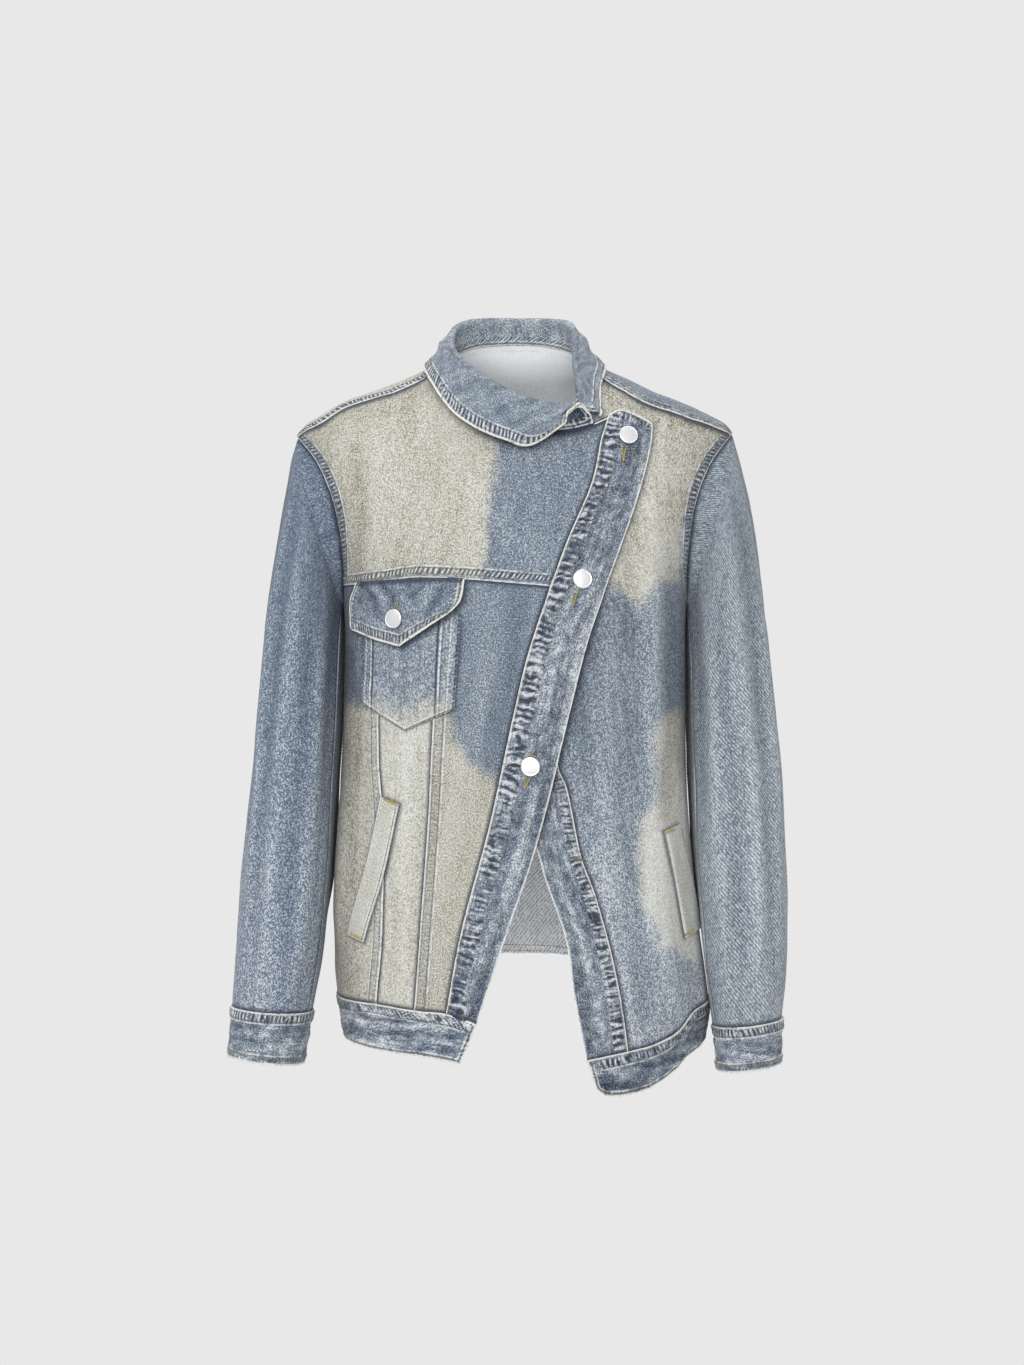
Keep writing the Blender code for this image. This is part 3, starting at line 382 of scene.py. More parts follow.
def frontLift(points):
    # The right front leaves the form towards its front edge, to lap over the left front.
    start = -112 + 0.05 * (points[..., 2] + 200)
    return garment["overlapLift"] * smoothStep(points[..., 0], start, start + 60)


# How each kind of edge is finished: rows are stitch rows at their distances from the edge,
# band is the doubled cloth's width, lift its height, pucker its large waves, ruck its small
# ones, white its worn roll, kept how much of the dye its band keeps.
edgeKinds = {
    "lap": {"rows": (2.2, 8.6), "band": 10.0, "lift": 0.8, "pucker": 0.22, "wave": 6.6, "ruck": 0.7,
            "start": 0.8, "white": 1.0, "thread": "khaki", "span": (0.0, 1.0), "over": -0.6, "kept": 0.45},
    "free": {"rows": (2.2, 8.6), "band": 10.0, "lift": 0.5, "pucker": 0.22, "wave": 6.6, "ruck": 0.7,
             "start": 0.8, "white": 1.0, "thread": "khaki", "span": (0.0, 1.0), "over": 0.0, "kept": 0.45},
    # An edge that lies under a neighbour sinks a little and gets a painted shadow line beside it, of a given
    # strength and reach.
    "under": {"rows": (), "white": 0.0, "span": (0.0, 1.0), "over": -1.2, "gutter": 1.0, "reach": 1.0},
}


def edge(side, kind, **changes):
    return {**edgeKinds[kind], "side": side, "kind": kind, **changes}


def tucked(sides):
    # Edges that lie under a neighbour, one for each letter.
    return [edge(side, "under") for side in sides]


def gridDistances(grid):
    # For each side, every point's distance from it and its place along it.
    across = np.linalg.norm(np.diff(grid, axis=1), axis=2)
    upward = np.linalg.norm(np.diff(grid, axis=0), axis=2)
    left = np.concatenate((np.zeros((grid.shape[0], 1)), np.cumsum(across, axis=1)), axis=1)
    low = np.concatenate((np.zeros((1, grid.shape[1])), np.cumsum(upward, axis=0)), axis=0)
    return {"l": (left, low), "r": (left[:, -1:] - left, low), "b": (low, left), "t": (low[-1:] - low, left)}


def trimGrid(grid, side, gap):
    # Draws an edge of a grid back by a gap, or lets it run on where the gap is below 0.
    edgeAt, inner = (0, 1) if side in "bl" else (-1, -2)
    out = grid.copy()
    if side in "bt":
        out[edgeAt] += unit(grid[inner] - grid[edgeAt]) * gap
    else:
        out[:, edgeAt] += unit(grid[:, inner] - grid[:, edgeAt]) * gap
    return out


def gridNormals(grid):
    # Square to the grid, towards the right-hand side of (across, up).
    return unit(np.cross(np.gradient(grid, axis=1), np.gradient(grid, axis=0)))


def sampleGrid(grid, rows, columns):
    r = np.clip(np.floor(rows).astype(int), 0, grid.shape[0] - 2)
    c = np.clip(np.floor(columns).astype(int), 0, grid.shape[1] - 2)
    a = (rows - r)[..., None]
    b = (columns - c)[..., None]
    return ((1 - a) * (1 - b) * grid[r, c] + (1 - a) * b * grid[r, c + 1]
            + a * (1 - b) * grid[r + 1, c] + a * b * grid[r + 1, c + 1])


def puckerWave(along, across, wave, seed):
    # Uneven waves along a seam, pulled up between its stitches.
    flat = np.stack((along, across, 0 * along), axis=-1)
    lean = 0.05 * lineNoise(along, 31.0, seed + 9)
    phase = along / wave + 0.8 * lineNoise(along, 13.0, seed) + lean * across
    phase = phase + 0.34 * softNoise(flat, (8, 5, 9), seed + 1)
    height = 0.35 + 0.65 * smoothStep(lineNoise(along, 23.0, seed + 3), -0.7, 0.4)
    broken = 0.35 + 0.65 * smoothStep(softNoise(flat, (7.5, 5.5, 9), seed + 2), -0.5, 0.35)
    main = np.sin(2 * math.pi * phase)
    fine = np.sin(2 * math.pi * (phase * 1.63 + 0.3 + 0.4 * lineNoise(along, 9.0, seed + 5)))
    blots = softNoise(flat, (4.5, 3.2, 9), seed + 7)
    return height * (0.74 * main * broken + 0.24 * fine + 0.62 * blots)


def lineDistance(points, line, closed=False):
    # How far points lie from a line of the front view.
    x, z = points[..., 0], points[..., 2]
    nearest = np.full(x.shape, 1e9)
    line = list(line)
    for (ax, az), (bx, bz) in zip(line, line[1:] + line[:1] if closed else line[1:]):
        along = ((x - ax) * (bx - ax) + (z - az) * (bz - az)) / ((bx - ax) ** 2 + (bz - az) ** 2)
        share = np.clip(along, 0, 1)
        nearest = np.minimum(nearest, np.hypot(x - ax - share * (bx - ax), z - az - share * (bz - az)))
    return nearest


# What a material reads at each point, with the value that it starts from.
markStarts = {"bleach": 0.0, "pucker": 0.0, "near": 60.0, "row": 30.0, "along": 0.0, "ruck": 0.0, "kept": 0.0,
              "gutter": 0.0, "shade": 0.0}


def wallFaces(shape, innerShape, closed):
    # Faces of a wall between an outer grid and an inner one with every second point.
    size = shape[0] * shape[1]
    number = np.arange(size).reshape(shape)
    innerNumber = size + np.arange(innerShape[0] * innerShape[1]).reshape(innerShape)
    if closed:
        number = np.hstack((number, number[:, :1]))
        innerNumber = np.hstack((innerNumber, innerNumber[:, :1]))
    quads = np.stack((number[:-1, :-1], number[:-1, 1:], number[1:, 1:], number[1:, :-1]), axis=-1)
    backs = np.stack((innerNumber[:-1, :-1], innerNumber[1:, :-1], innerNumber[1:, 1:], innerNumber[:-1, 1:]),
                     axis=-1)
    faces = quads.reshape(-1, 4).tolist() + backs.reshape(-1, 4).tolist()
    rims = [(number[0], innerNumber[0]), (number[-1], innerNumber[-1])]
    if not closed:
        rims += [(number[:, 0], innerNumber[:, 0]), (number[:, -1], innerNumber[:, -1])]
    for line, inside in rims:
        for k in range(len(inside) - 1):
            faces.append((line[2 * k], line[2 * k + 1], inside[k]))
            faces.append((line[2 * k + 1], inside[k + 1], inside[k]))
            faces.append((line[2 * k + 1], line[2 * k + 2], inside[k + 1]))
    return faces


class Cloth:
    # One piece: its outer grid, its finished edges and the marks that its material reads.
    def __init__(self, name, grid, normals, edges, look):
        self.name = name
        self.look = look
        self.edges = edges
        for one in edges:
            if one["over"]:
                grid = trimGrid(grid, one["side"], one["over"])
        self.base = grid
        self.normals = normals
        self.distances = gridDistances(grid)
        shape = grid.shape[:2]
        self.marks = {mark: np.full(shape, start) for mark, start in markStarts.items()}
        self.lift = np.zeros(shape)
        self.closest = np.full(shape, 60.0)
        if "shade" in look:
            self.marks["shade"] = self.marks["shade"] + look["shade"](grid)
        if "wash" in look:
            self.marks["bleach"] = look["wash"](grid)
        for k, one in enumerate(edges):
            self.finishEdge(one, look["seed"] * 10 + k)
        self.pressFolds()
        self.crumple()
        self.outer = grid + normals * self.lift[..., None]
        self.place = self.weavePlace()

    def finishEdge(self, one, seed):
        # The doubled band along one edge, with its stitch rows, puckers and worn brim.
        marks = self.marks
        away, along = self.distances[one["side"]]
        start, end = one["span"]
        share = along / np.maximum(along.max(axis=1 if one["side"] in "bt" else 0, keepdims=True), 1e-6)
        inSpan = smoothStep(share, start - 0.02, start) * (1 - smoothStep(share, end, end + 0.02))
        if start <= 0 and end >= 1:
            inSpan = np.ones(share.shape)
        if one["kind"] == "under":
            # Under a neighbour's lap: the edge sinks, and a painted shadow darkens the cloth beside it.
            self.lift -= 0.7 * (1 - smoothStep(away, 0.0, 4.0)) * inSpan
            reach = one["reach"]
            dark = one["gutter"] * (1 - smoothStep(away, 2.4 * reach, 7.0 * reach)) * inSpan
            marks["gutter"] = np.maximum(marks["gutter"], dark)
            return
        band = one["band"]
        self.lift += one["lift"] * (1 - smoothStep(away, band, band + 2.5)) * inSpan
        self.lift -= 0.45 * np.clip(1 - away / 1.5, 0, 1) ** 2 * inSpan
        for row in one["rows"]:
            self.lift -= 0.22 * np.exp(-((away - row) / 0.9) ** 2) * inSpan
        wave = puckerWave(along, away, one["wave"], seed)
        window = smoothStep(away, -0.5, 1.6) * (1 - smoothStep(away, band - 1.5, band + 2.0)) * inSpan
        self.lift += one["pucker"] * wave * window
        marks["pucker"] += wave * window * min(1.7, one["pucker"] / 0.4)
        nearest = (inSpan > 0.5) & (away < self.closest)
        self.closest = np.where(nearest, away, self.closest)
        if one["white"]:
            marks["near"] = np.where(nearest, away, marks["near"])
        if one["rows"] and one.get("brim", True):
            marks["row"] = np.where(nearest, away - one["rows"][-1], marks["row"])
        marks["along"] = np.where(nearest & (away < 30), along, marks["along"])
        ruck = one["ruck"] * smoothStep(away, one["start"] - 1.5, one["start"])
        ruck = ruck * (1 - smoothStep(away, band - 1.0, band + 1.5))
        marks["ruck"] = np.maximum(marks["ruck"], ruck * inSpan)
        kept = one["kept"] * (1 - smoothStep(away, band - 1, band + 4)) * inSpan
        marks["kept"] = np.maximum(marks["kept"], kept)

    def pressFolds(self):
        # Painted shadows along lines where other pieces lie on this one, soft folds along lines of the front
        # view with their painted shade, and pressed creases.
        marks = self.marks
        for line, reach, amount in self.look.get("castShadows", ()):
            # Each line paints a shadow on the cloth beside it.
            dark = amount * (1 - smoothStep(lineDistance(self.base, line), 0.0, reach)) ** 1.5
            marks["gutter"] = np.maximum(marks["gutter"], dark)
        for line, width, rise in self.look.get("folds", ()):
            fold = rise * np.exp(-(lineDistance(self.base, line) / width) ** 2)
            self.lift += fold
            # Each fold also paints its shade: lighter on a ridge, darker in a trough.
            marks["shade"] = marks["shade"] + (0.20 if rise < 0 else 0.14) * fold
        for side, at, width, amount in self.look.get("creases", ()):
            ridge = amount * np.exp(-((self.distances[side][0] - at) / width) ** 2)
            self.lift += 0.5 * ridge
            marks["pucker"] += ridge

    def crumple(self):
        # The uneven hand of the cloth: crumples where a look asks for them, with their painted shade, and a
        # ripple all over.
        left, low = self.distances["l"]
        flat = np.stack((left, low, 0 * left), axis=-1)
        seed = self.look["seed"]
        if "crumple" in self.look:
            amount, wide, tall = self.look["crumple"]
            field = softNoise(flat, (wide, tall, 9), seed + 90)
            field = field + 0.5 * softNoise(flat, (wide / 2, tall / 1.7, 9), seed)
            self.lift += amount * field
            # The crumples paint their shade: lighter where they rise, darker where they sink.
            self.marks["shade"] = self.marks["shade"] + 0.42 * min(amount, 1.0) * field
        ripple = self.look.get("ripple", 0.5)
        self.lift += ripple * softNoise(self.base, (26, 26, 60), seed + 40)
        self.lift += ripple * 0.5 * softNoise(self.base, (11, 11, 22), seed + 60)

    def weavePlace(self):
        # Every point's place in the weave, in millimetres, turned by the piece's grain.
        left, low = self.distances["l"]
        grain = math.radians(self.look.get("grain", 0))
        row, column = left.shape[0] // 2, left.shape[1] // 2
        u = left - left[:, column:column + 1]
        v = low - low[row:row + 1] + self.base[row:row + 1, :, 2]
        return np.stack((u * math.cos(grain) - v * math.sin(grain), u * math.sin(grain) + v * math.cos(grain),
                         np.full(left.shape, self.look["seed"] * 53.0)), axis=-1)

    def insetLine(self, side, inset, span=(0.0, 1.0), inner=False):
        # Points and normals along one side, this far inside it.
        distances = gridDistances(self.outer)[side][0]
        rows, columns = distances.shape
        if side in "lr":
            order = slice(None) if side == "l" else slice(None, None, -1)
            steps = np.arange(columns)[order]
            c = np.array([np.interp(inset, distances[r][order], steps) for r in range(rows)])
            r = np.arange(rows, dtype=float)
        else:
            order = slice(None) if side == "b" else slice(None, None, -1)
            steps = np.arange(rows)[order]
            r = np.array([np.interp(inset, distances[:, c][order], steps) for c in range(columns)])
            c = np.arange(columns, dtype=float)
        count = len(r)
        keep = slice(int(round(span[0] * (count - 1))), int(round(span[1] * (count - 1))) + 1)
        points = sampleGrid(self.outer, r[keep], c[keep])
        normals = unit(sampleGrid(self.normals, r[keep], c[keep]))
        if inner:
            points = points - normals * (self.look.get("cloth", garment["cloth"]) + 0.1)
            normals = -normals
        return points, normals

    def build(self):
        # A closed wall: the outer grid, every second point of it inside, and rims between.
        closed = self.look.get("closed", False)
        lasting = slice(None, -1) if closed else slice(None)
        outer = self.outer[:, lasting]
        deep = self.look.get("cloth", garment["cloth"])
        if "thicken" in self.look:
            deep = deep + self.look["thicken"](self)
        inner = self.base + self.normals * (np.clip(self.lift, -0.6, 0.6) * 0.5 - deep)[..., None]
        inner = inner[:, lasting][::2, ::2]
        points = np.vstack((outer.reshape(-1, 3), inner.reshape(-1, 3))) * mm
        faces = wallFaces(outer.shape[:2], inner.shape[:2], closed)
        thing = makeMesh(self.name + "_cloth", points, faces)
        self.mark(thing.data, lasting)
        thing.data.materials.append(materials[self.look["material"]])
        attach(thing, "root")
        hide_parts(self.name)
        self.sew()
        patches = np.cross(np.diff(self.outer, axis=0)[:, 1:], np.diff(self.outer, axis=1)[1:])
        print("%s: %d faces, %.4f m2, middle %.0f x %.0f mm" % (
            self.name, len(faces), np.linalg.norm(patches, axis=2).sum() * mm * mm,
            gridDistances(self.outer)["l"][0][:, -1].mean(), gridDistances(self.outer)["b"][0][-1].mean()))

    def mark(self, mesh, lasting):
        # The marks of the outer points and then of the inner ones, as attributes of the mesh.
        def spread(values):
            values = values[:, lasting]
            return np.concatenate([values.reshape(-1, *values.shape[2:]),
                                   values[::2, ::2].reshape(-1, *values.shape[2:])])
        values = {label: spread(field) for label, field in self.marks.items()}
        size = self.lift[:, lasting].size
        if "innerShade" in self.look:
            change = self.look["innerShade"](self) + 0 * self.lift
            values["shade"][size:] += change[:, lasting][::2, ::2].reshape(-1)
        values["inner"] = np.zeros(len(values["shade"]))
        values["inner"][size:] = self.look.get("wrong", 1.0)
        for label, field in values.items():
            mesh.attributes.new(label, "FLOAT", "POINT").data.foreach_set("value", field.astype(np.float32))
        place = mesh.attributes.new("place", "FLOAT_VECTOR", "POINT")
        place.data.foreach_set("vector", spread(self.place).astype(np.float32).ravel())

    def sew(self):
        # The stitch rows and worn rolls of the finished edges.
        region = self.look["region"]
        for one in self.edges:
            if one["kind"] == "under":
                continue
            for row in one["rows"]:
                sewLine(region, one["thread"], *self.insetLine(one["side"], row, one["span"]))
            if one["white"]:
                points, normals = self.insetLine(one["side"], 0.25, one["span"])
                foldLine(region, points - normals * 0.4, normals, one["white"],
                         one.get("roll", garment["foldRadius"]))


def makeMesh(name, points, faces, sharp=50):
    mesh = bpy.data.meshes.new(name)
    mesh.from_pydata(np.asarray(points).tolist(), [], faces)
    shape = bmesh.new()
    shape.from_mesh(mesh)
    bmesh.ops.recalc_face_normals(shape, faces=shape.faces)
    shape.to_mesh(mesh)
    shape.free()
    mesh.shade_smooth()
    mesh.set_sharp_from_angle(angle=math.radians(sharp))
    thing = bpy.data.objects.new(name, mesh)
    bpy.context.scene.collection.objects.link(thing)
    return thing


# Thread and worn folds are gathered by region while the pieces are made.
threadRuns = {}
foldRuns = {}


def lineStops(points):
    # How far along a line each of its points is.
    return np.concatenate(([0.0], np.cumsum(np.linalg.norm(np.diff(points, axis=0), axis=1))))


def readLine(values, stops, places):
    return np.stack([np.interp(places, stops, values[:, k]) for k in range(3)], axis=-1)


def sewLine(region, thread, points, normals, pitch=None, radius=None, fill=0.80, margin=1.0):
    pitch = pitch or garment["stitchPitch"]
    radius = radius or garment["threadRadius"]
    stops = lineStops(points)
    count = int((stops[-1] - 2 * margin) / pitch)
    if count < 1:
        return
    starts = margin + (np.arange(count) + 0.5 * (1 - fill)) * pitch
    tail = readLine(points, stops, starts)
    head = readLine(points, stops, starts + pitch * fill)
    up = unit(readLine(normals, stops, starts))
    threadRuns.setdefault((region, thread), []).append(stitches(tail, head, up, radius))


def stitches(tail, head, up, radius):
    # Short rounded runs of thread: two tips in the cloth and two rings above it.
    ahead = unit(head - tail)
    beside = unit(np.cross(up, ahead))
    up = np.cross(ahead, beside)
    length = np.linalg.norm(head - tail, axis=1, keepdims=True)
    sink = up * radius * 0.4
    rings = []
    for centre in (tail + ahead * length * 0.2, head - ahead * length * 0.2):
        centre = centre + up * radius * 0.75
        rings.append(np.stack((centre + beside * radius, centre + up * radius * 0.8,
                               centre - beside * radius, centre - up * radius * 0.8), axis=1))
    return np.concatenate(((tail - sink)[:, None], rings[0], rings[1], (head - sink)[:, None]), axis=1)


stitchFaces = ([(0, 1 + (k + 1) % 4, 1 + k) for k in range(4)]
               + [(1 + k, 1 + (k + 1) % 4, 5 + (k + 1) % 4, 5 + k) for k in range(4)]
               + [(9, 5 + k, 5 + (k + 1) % 4) for k in range(4)])


def foldLine(region, points, normals, amount=1.0, radius=None, step=2.2):
    # The rubbed roll along a folded edge, a thin tube of uneven width.
    radius = radius or garment["foldRadius"]
    stops = lineStops(points)
    places = np.linspace(0, stops[-1], max(int(stops[-1] / step), 2) + 1)
    centres = readLine(points, stops, places)
    up = unit(readLine(normals, stops, places))
    ahead = unit(np.gradient(centres, axis=0))
    beside = unit(np.cross(up, ahead))
    width = radius * (1 + 0.16 * lineNoise(places, 7.0, len(foldRuns) + 5)) * amount
    width[0] *= 0.4
    width[-1] *= 0.4
    ring = [(math.cos(math.radians(a)), math.sin(math.radians(a))) for a in (18, 90, 162, 234, 306)]
    tube = np.stack([centres + (beside * c + up * s) * width[:, None] for c, s in ring], axis=1)
    foldRuns.setdefault(region, []).append((tube, places))


def buildThreads():
    for (region, thread), runs in sorted(threadRuns.items()):
        points = np.concatenate(runs)
        count = len(points)
        faces = [tuple(10 * k + i for i in face) for k in range(count) for face in stitchFaces]
        thing = makeMesh("%sStitches%s" % (thread, region), points.reshape(-1, 3) * mm, faces, 180)
        thing.data.materials.append(materials[thread + "Thread"])
        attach(thing, "root")
        print("%s: %d stitches" % (thing.name, count))


def buildFolds():
    for region, runs in sorted(foldRuns.items()):
        points = []
        faces = []
        placeValues = []
        for tube, places in runs:
            start = sum(len(p) for p in points)
            rows = len(tube)
            points.append(tube.reshape(-1, 3))
            placeValues.append(np.repeat(places, 5))
            for r in range(rows - 1):
                for k in range(5):
                    a, b = start + r * 5 + k, start + r * 5 + (k + 1) % 5
                    faces.append((a, b, b + 5, a + 5))
            faces.append(tuple(start + k for k in range(5)))
            faces.append(tuple(start + (rows - 1) * 5 + k for k in range(5)))
        thing = makeMesh("wornFolds%s" % region, np.concatenate(points) * mm, faces, 60)
        thing.data.attributes.new("along", "FLOAT", "POINT").data.foreach_set(
            "value", np.concatenate(placeValues).astype(np.float32))
        thing.data.materials.append(materials["wornFold"])
        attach(thing, "root")
        print("%s: %d faces" % (thing.name, len(faces)))


# Node groups and materials.
class Tree:
    # Short ways to add and link nodes.
    def __init__(self, tree):
        self.tree = tree

    def put(self, socket, value):
        if isinstance(value, bpy.types.NodeSocket):
            self.tree.links.new(value, socket)
        else:
            socket.default_value = value

    def add(self, kind, inputs=(), **settings):
        node = self.tree.nodes.new(kind)
        for label, value in settings.items():
            setattr(node, label, value)
        for key, value in dict(inputs).items():
            self.put(node.inputs[key], value)
        return node

    def calc(self, operation, a, b=0.0, c=0.0):
        return self.add("ShaderNodeMath", {0: a, 1: b, 2: c}, operation=operation).outputs[0]

    def ramp(self, value, low, high, start=0.0, end=1.0):
        return self.add("ShaderNodeMapRange", {0: value, 1: low, 2: high, 3: start, 4: end},
                        interpolation_type="SMOOTHSTEP").outputs[0]

    def noise(self, place, sizes, detail=2.0, roughness=0.5):
        shares = tuple(1 / size for size in sizes)
        scaled = self.add("ShaderNodeVectorMath", {0: place, 1: shares}, operation="MULTIPLY").outputs[0]
        return self.add("ShaderNodeTexNoise", {"Vector": scaled, "Scale": 1.0, "Detail": detail,
                                               "Roughness": roughness}).outputs[0]

    def mix(self, share, a, b):
        node = self.add("ShaderNodeMix", data_type="RGBA", clamp_factor=True)
        for index, value in ((0, share), (6, a), (7, b)):
            self.put(node.inputs[index], value)
        return node.outputs[2]

    def attribute(self, name, output="Fac"):
        return self.add("ShaderNodeAttribute", attribute_name=name).outputs[output]


def newGroup(name, inputs, outputs):
    group = bpy.data.node_groups.new(name, "ShaderNodeTree")
    for label, kind, value in inputs:
        socket = group.interface.new_socket(name=label, in_out="INPUT", socket_type="NodeSocket" + kind)
        if value is not None:
            socket.default_value = value
    for label, kind in outputs:
        group.interface.new_socket(name=label, in_out="OUTPUT", socket_type="NodeSocket" + kind)
    tree = Tree(group)
    return tree, tree.add("NodeGroupInput").outputs, tree.add("NodeGroupOutput").inputs


def tone(red, green, blue):
    # Linear colour of an 8-bit display one.
    shares = [v / 255 for v in (red, green, blue)]
    return tuple(s / 12.92 if s <= 0.04045 else ((s + 0.055) / 1.055) ** 2.4 for s in shares) + (1.0,)


def makeTwill():
    # Slanted ribs, upright slubs and a fine grain from a place in millimetres.
    tree, given, out = newGroup("denimTwill", (("Place", "Vector", None), ("Rib Pitch", "Float", 1.9),
                                               ("Rib Lean", "Float", 1.0)),
                                (("Ribs", "Float"), ("Slubs", "Float"), ("Grain", "Float")))
    parts = tree.add("ShaderNodeSeparateXYZ", {0: given["Place"]}).outputs
    warp = tree.noise(given["Place"], (9, 14, 30), 1.0)
    slant = tree.calc("MULTIPLY", parts[1], tree.calc("MULTIPLY", given["Rib Lean"], 0.9))
    across = tree.calc("ADD", parts[0], slant)
    across = tree.calc("ADD", across, tree.calc("MULTIPLY", warp, 1.5))
    phase = tree.calc("DIVIDE", across, given["Rib Pitch"])
    wave = tree.calc("SINE", tree.calc("MULTIPLY", phase, 2 * math.pi))
    broken = tree.ramp(tree.noise(given["Place"], (1.6, 4.5, 30), 1.0), 0.30, 0.58)
    tree.put(out["Ribs"], tree.calc("MULTIPLY", tree.calc("MULTIPLY_ADD", wave, 0.5, 0.5), broken))
    tree.put(out["Slubs"], tree.ramp(tree.noise(given["Place"], (1.5, 11, 30), 3.0, 0.62), 0.30, 0.72))
    tree.put(out["Grain"], tree.ramp(tree.noise(given["Place"], (1.2, 1.6, 30), 1.0, 0.6), 0.32, 0.70))


# Tones that every cloth shares, and the weave's parts, whose strengths differ between cloths.
sharedTones = {"Deep": (40, 48, 64), "Pale": (208, 212, 214), "Beige": (178, 176, 165),
               "Beige Deep": (94, 90, 76), "Wrong Side": (248, 250, 251)}
weaveParts = ("Rib", "Slub", "Grain", "Blotch", "Cloud")


def makeWashed():
    # Washed denim: colour and height from the weave, the wash masks and the wear marks, with painted shade
    # and painted shadow.
    inputs = [("Place", "Vector", None), ("Blue", "Color", None), ("Rib Pitch", "Float", 2.6)]
    inputs += [(label, "Color", None) for label in sharedTones]
    inputs += [(mark.capitalize(), "Float", start) for mark, start in {**markStarts, "inner": 0.0}.items()]
    inputs += [(part + " Strength", "Float", 0.3) for part in weaveParts]
    tree, given, out = newGroup("washedDenim", inputs, (("Color", "Color"), ("Height", "Float")))
    twill = tree.add("ShaderNodeGroup", node_tree=bpy.data.node_groups["denimTwill"])
    tree.put(twill.inputs["Place"], given["Place"])
    tree.put(twill.inputs["Rib Pitch"], tree.calc("MULTIPLY_ADD", given["Inner"], 1.3, given["Rib Pitch"]))
    tree.put(twill.inputs["Rib Lean"], tree.calc("MULTIPLY_ADD", given["Inner"], -2.0, 1.0))
    ribs, slubs, grain = (twill.outputs[k] for k in ("Ribs", "Slubs", "Grain"))
    blotch = tree.ramp(tree.noise(given["Place"], (10, 110, 60), 2.0, 0.5), 0.30, 0.70)
    cloudy = tree.ramp(tree.noise(given["Place"], (7, 10, 30), 2.0, 0.6), 0.30, 0.72)
    centred = [tree.calc("SUBTRACT", v, 0.5) for v in (ribs, slubs, grain, blotch, cloudy)]
    light = given["Shade"]
    for value, part in zip(centred, weaveParts):
        light = tree.calc("MULTIPLY_ADD", value, given[part + " Strength"], light)
    dark = tree.calc("MULTIPLY", light, -1.0)
    blue = tree.mix(dark, tree.mix(light, given["Blue"], given["Pale"]), given["Deep"])
    wider = [tree.calc("MULTIPLY", v, 1.05) for v in (light, dark)]
    beige = tree.mix(wider[1], tree.mix(wider[0], given["Beige"], given["Pale"]), given["Beige Deep"])
    bleach = tree.calc("MULTIPLY_ADD", centred[4], 0.10, given["Bleach"])
    bleach = tree.calc("MULTIPLY_ADD", centred[2], 0.12, bleach)
    bleach = tree.calc("MULTIPLY", tree.ramp(bleach, 0.05, 0.95), tree.calc("SUBTRACT", 1.0, given["Kept"]))
    colour = tree.mix(bleach, blue, beige)
    # Small puckers run across each seam, on top of the ones in the mesh.
    turn = tree.calc("MULTIPLY_ADD", tree.noise(given["Place"], (30, 30, 30), 1.0), 3.0,
                     tree.calc("DIVIDE", given["Along"], 4.3))
    wave = tree.calc("SINE", tree.calc("MULTIPLY", turn, 2 * math.pi))
    broken = tree.ramp(tree.noise(given["Place"], (4.5, 4.5, 30), 1.0), 0.28, 0.55)
    small = tree.calc("MULTIPLY", tree.calc("MULTIPLY", wave, broken), given["Ruck"])
    pucker = tree.calc("MULTIPLY_ADD", small, 0.75, given["Pucker"])
    ridge = tree.calc("MULTIPLY", tree.ramp(pucker, 0.15, 0.8), tree.calc("MULTIPLY_ADD", grain, 0.35, 0.45))
    valley = tree.calc("MULTIPLY", tree.ramp(pucker, -0.10, -0.60),
                       tree.calc("MULTIPLY_ADD", grain, 0.25, 0.70))
    depth = tree.mix(bleach, given["Deep"], given["Beige Deep"])
    colour = tree.mix(valley, colour, depth)
    colour = tree.mix(ridge, colour, given["Pale"])
    # The stitched groove, the rubbed brim beside it and the white of the folded edge.
    groove = tree.ramp(tree.calc("ABSOLUTE", given["Row"]), 1.1, 0.2)
    colour = tree.mix(tree.calc("MULTIPLY", groove, 0.45), colour, depth)
    brim = tree.ramp(tree.calc("ABSOLUTE", tree.calc("SUBTRACT", given["Row"], 1.7)), 1.2, 0.3)
    brim = tree.calc("MULTIPLY", brim, tree.ramp(cloudy, 0.2, 0.6, 0.15, 0.6))
    colour = tree.mix(brim, colour, given["Pale"])
    rubbed = tree.calc("MULTIPLY", tree.ramp(given["Near"], 2.0, 0.4),
                       tree.ramp(tree.noise(given["Place"], (3, 5, 30), 2.0), 0.25, 0.55))
    colour = tree.mix(tree.calc("MULTIPLY", rubbed, 0.8), colour, given["Pale"])
    # Painted shadow beside edges that lie under a neighbour and under pieces sewn on top.
    colour = tree.mix(tree.calc("MULTIPLY", given["Gutter"], 0.90), colour, given["Deep"])
    # The wrong side shows its own ribs; Shade paints it darker below 0 and lighter above 0, with stronger
    # ribs where it is lighter.
    wrongMark = tree.calc("MULTIPLY_ADD", grain, 0.35, tree.calc("MULTIPLY_ADD", slubs, 0.3, ribs))
    wrongMark = tree.calc("MULTIPLY", wrongMark, tree.calc("MULTIPLY_ADD", given["Shade"], 2.3, 0.14))
    wrongMark = tree.calc("ADD", wrongMark, tree.calc("MULTIPLY_ADD", given["Shade"], -1.1, 0.22))
    wrong = tree.mix(wrongMark, given["Wrong Side"], tone(86, 98, 114))
    wrong = tree.mix(given["Shade"], wrong, tone(250, 252, 253))
    tree.put(out["Color"], tree.mix(given["Inner"], colour, wrong))
    height = tree.calc("MULTIPLY_ADD", ribs, 0.10, tree.calc("MULTIPLY", slubs, 0.05))
    tree.put(out["Height"], tree.calc("MULTIPLY_ADD", grain, 0.10, height))


makeTwill()
makeWashed()

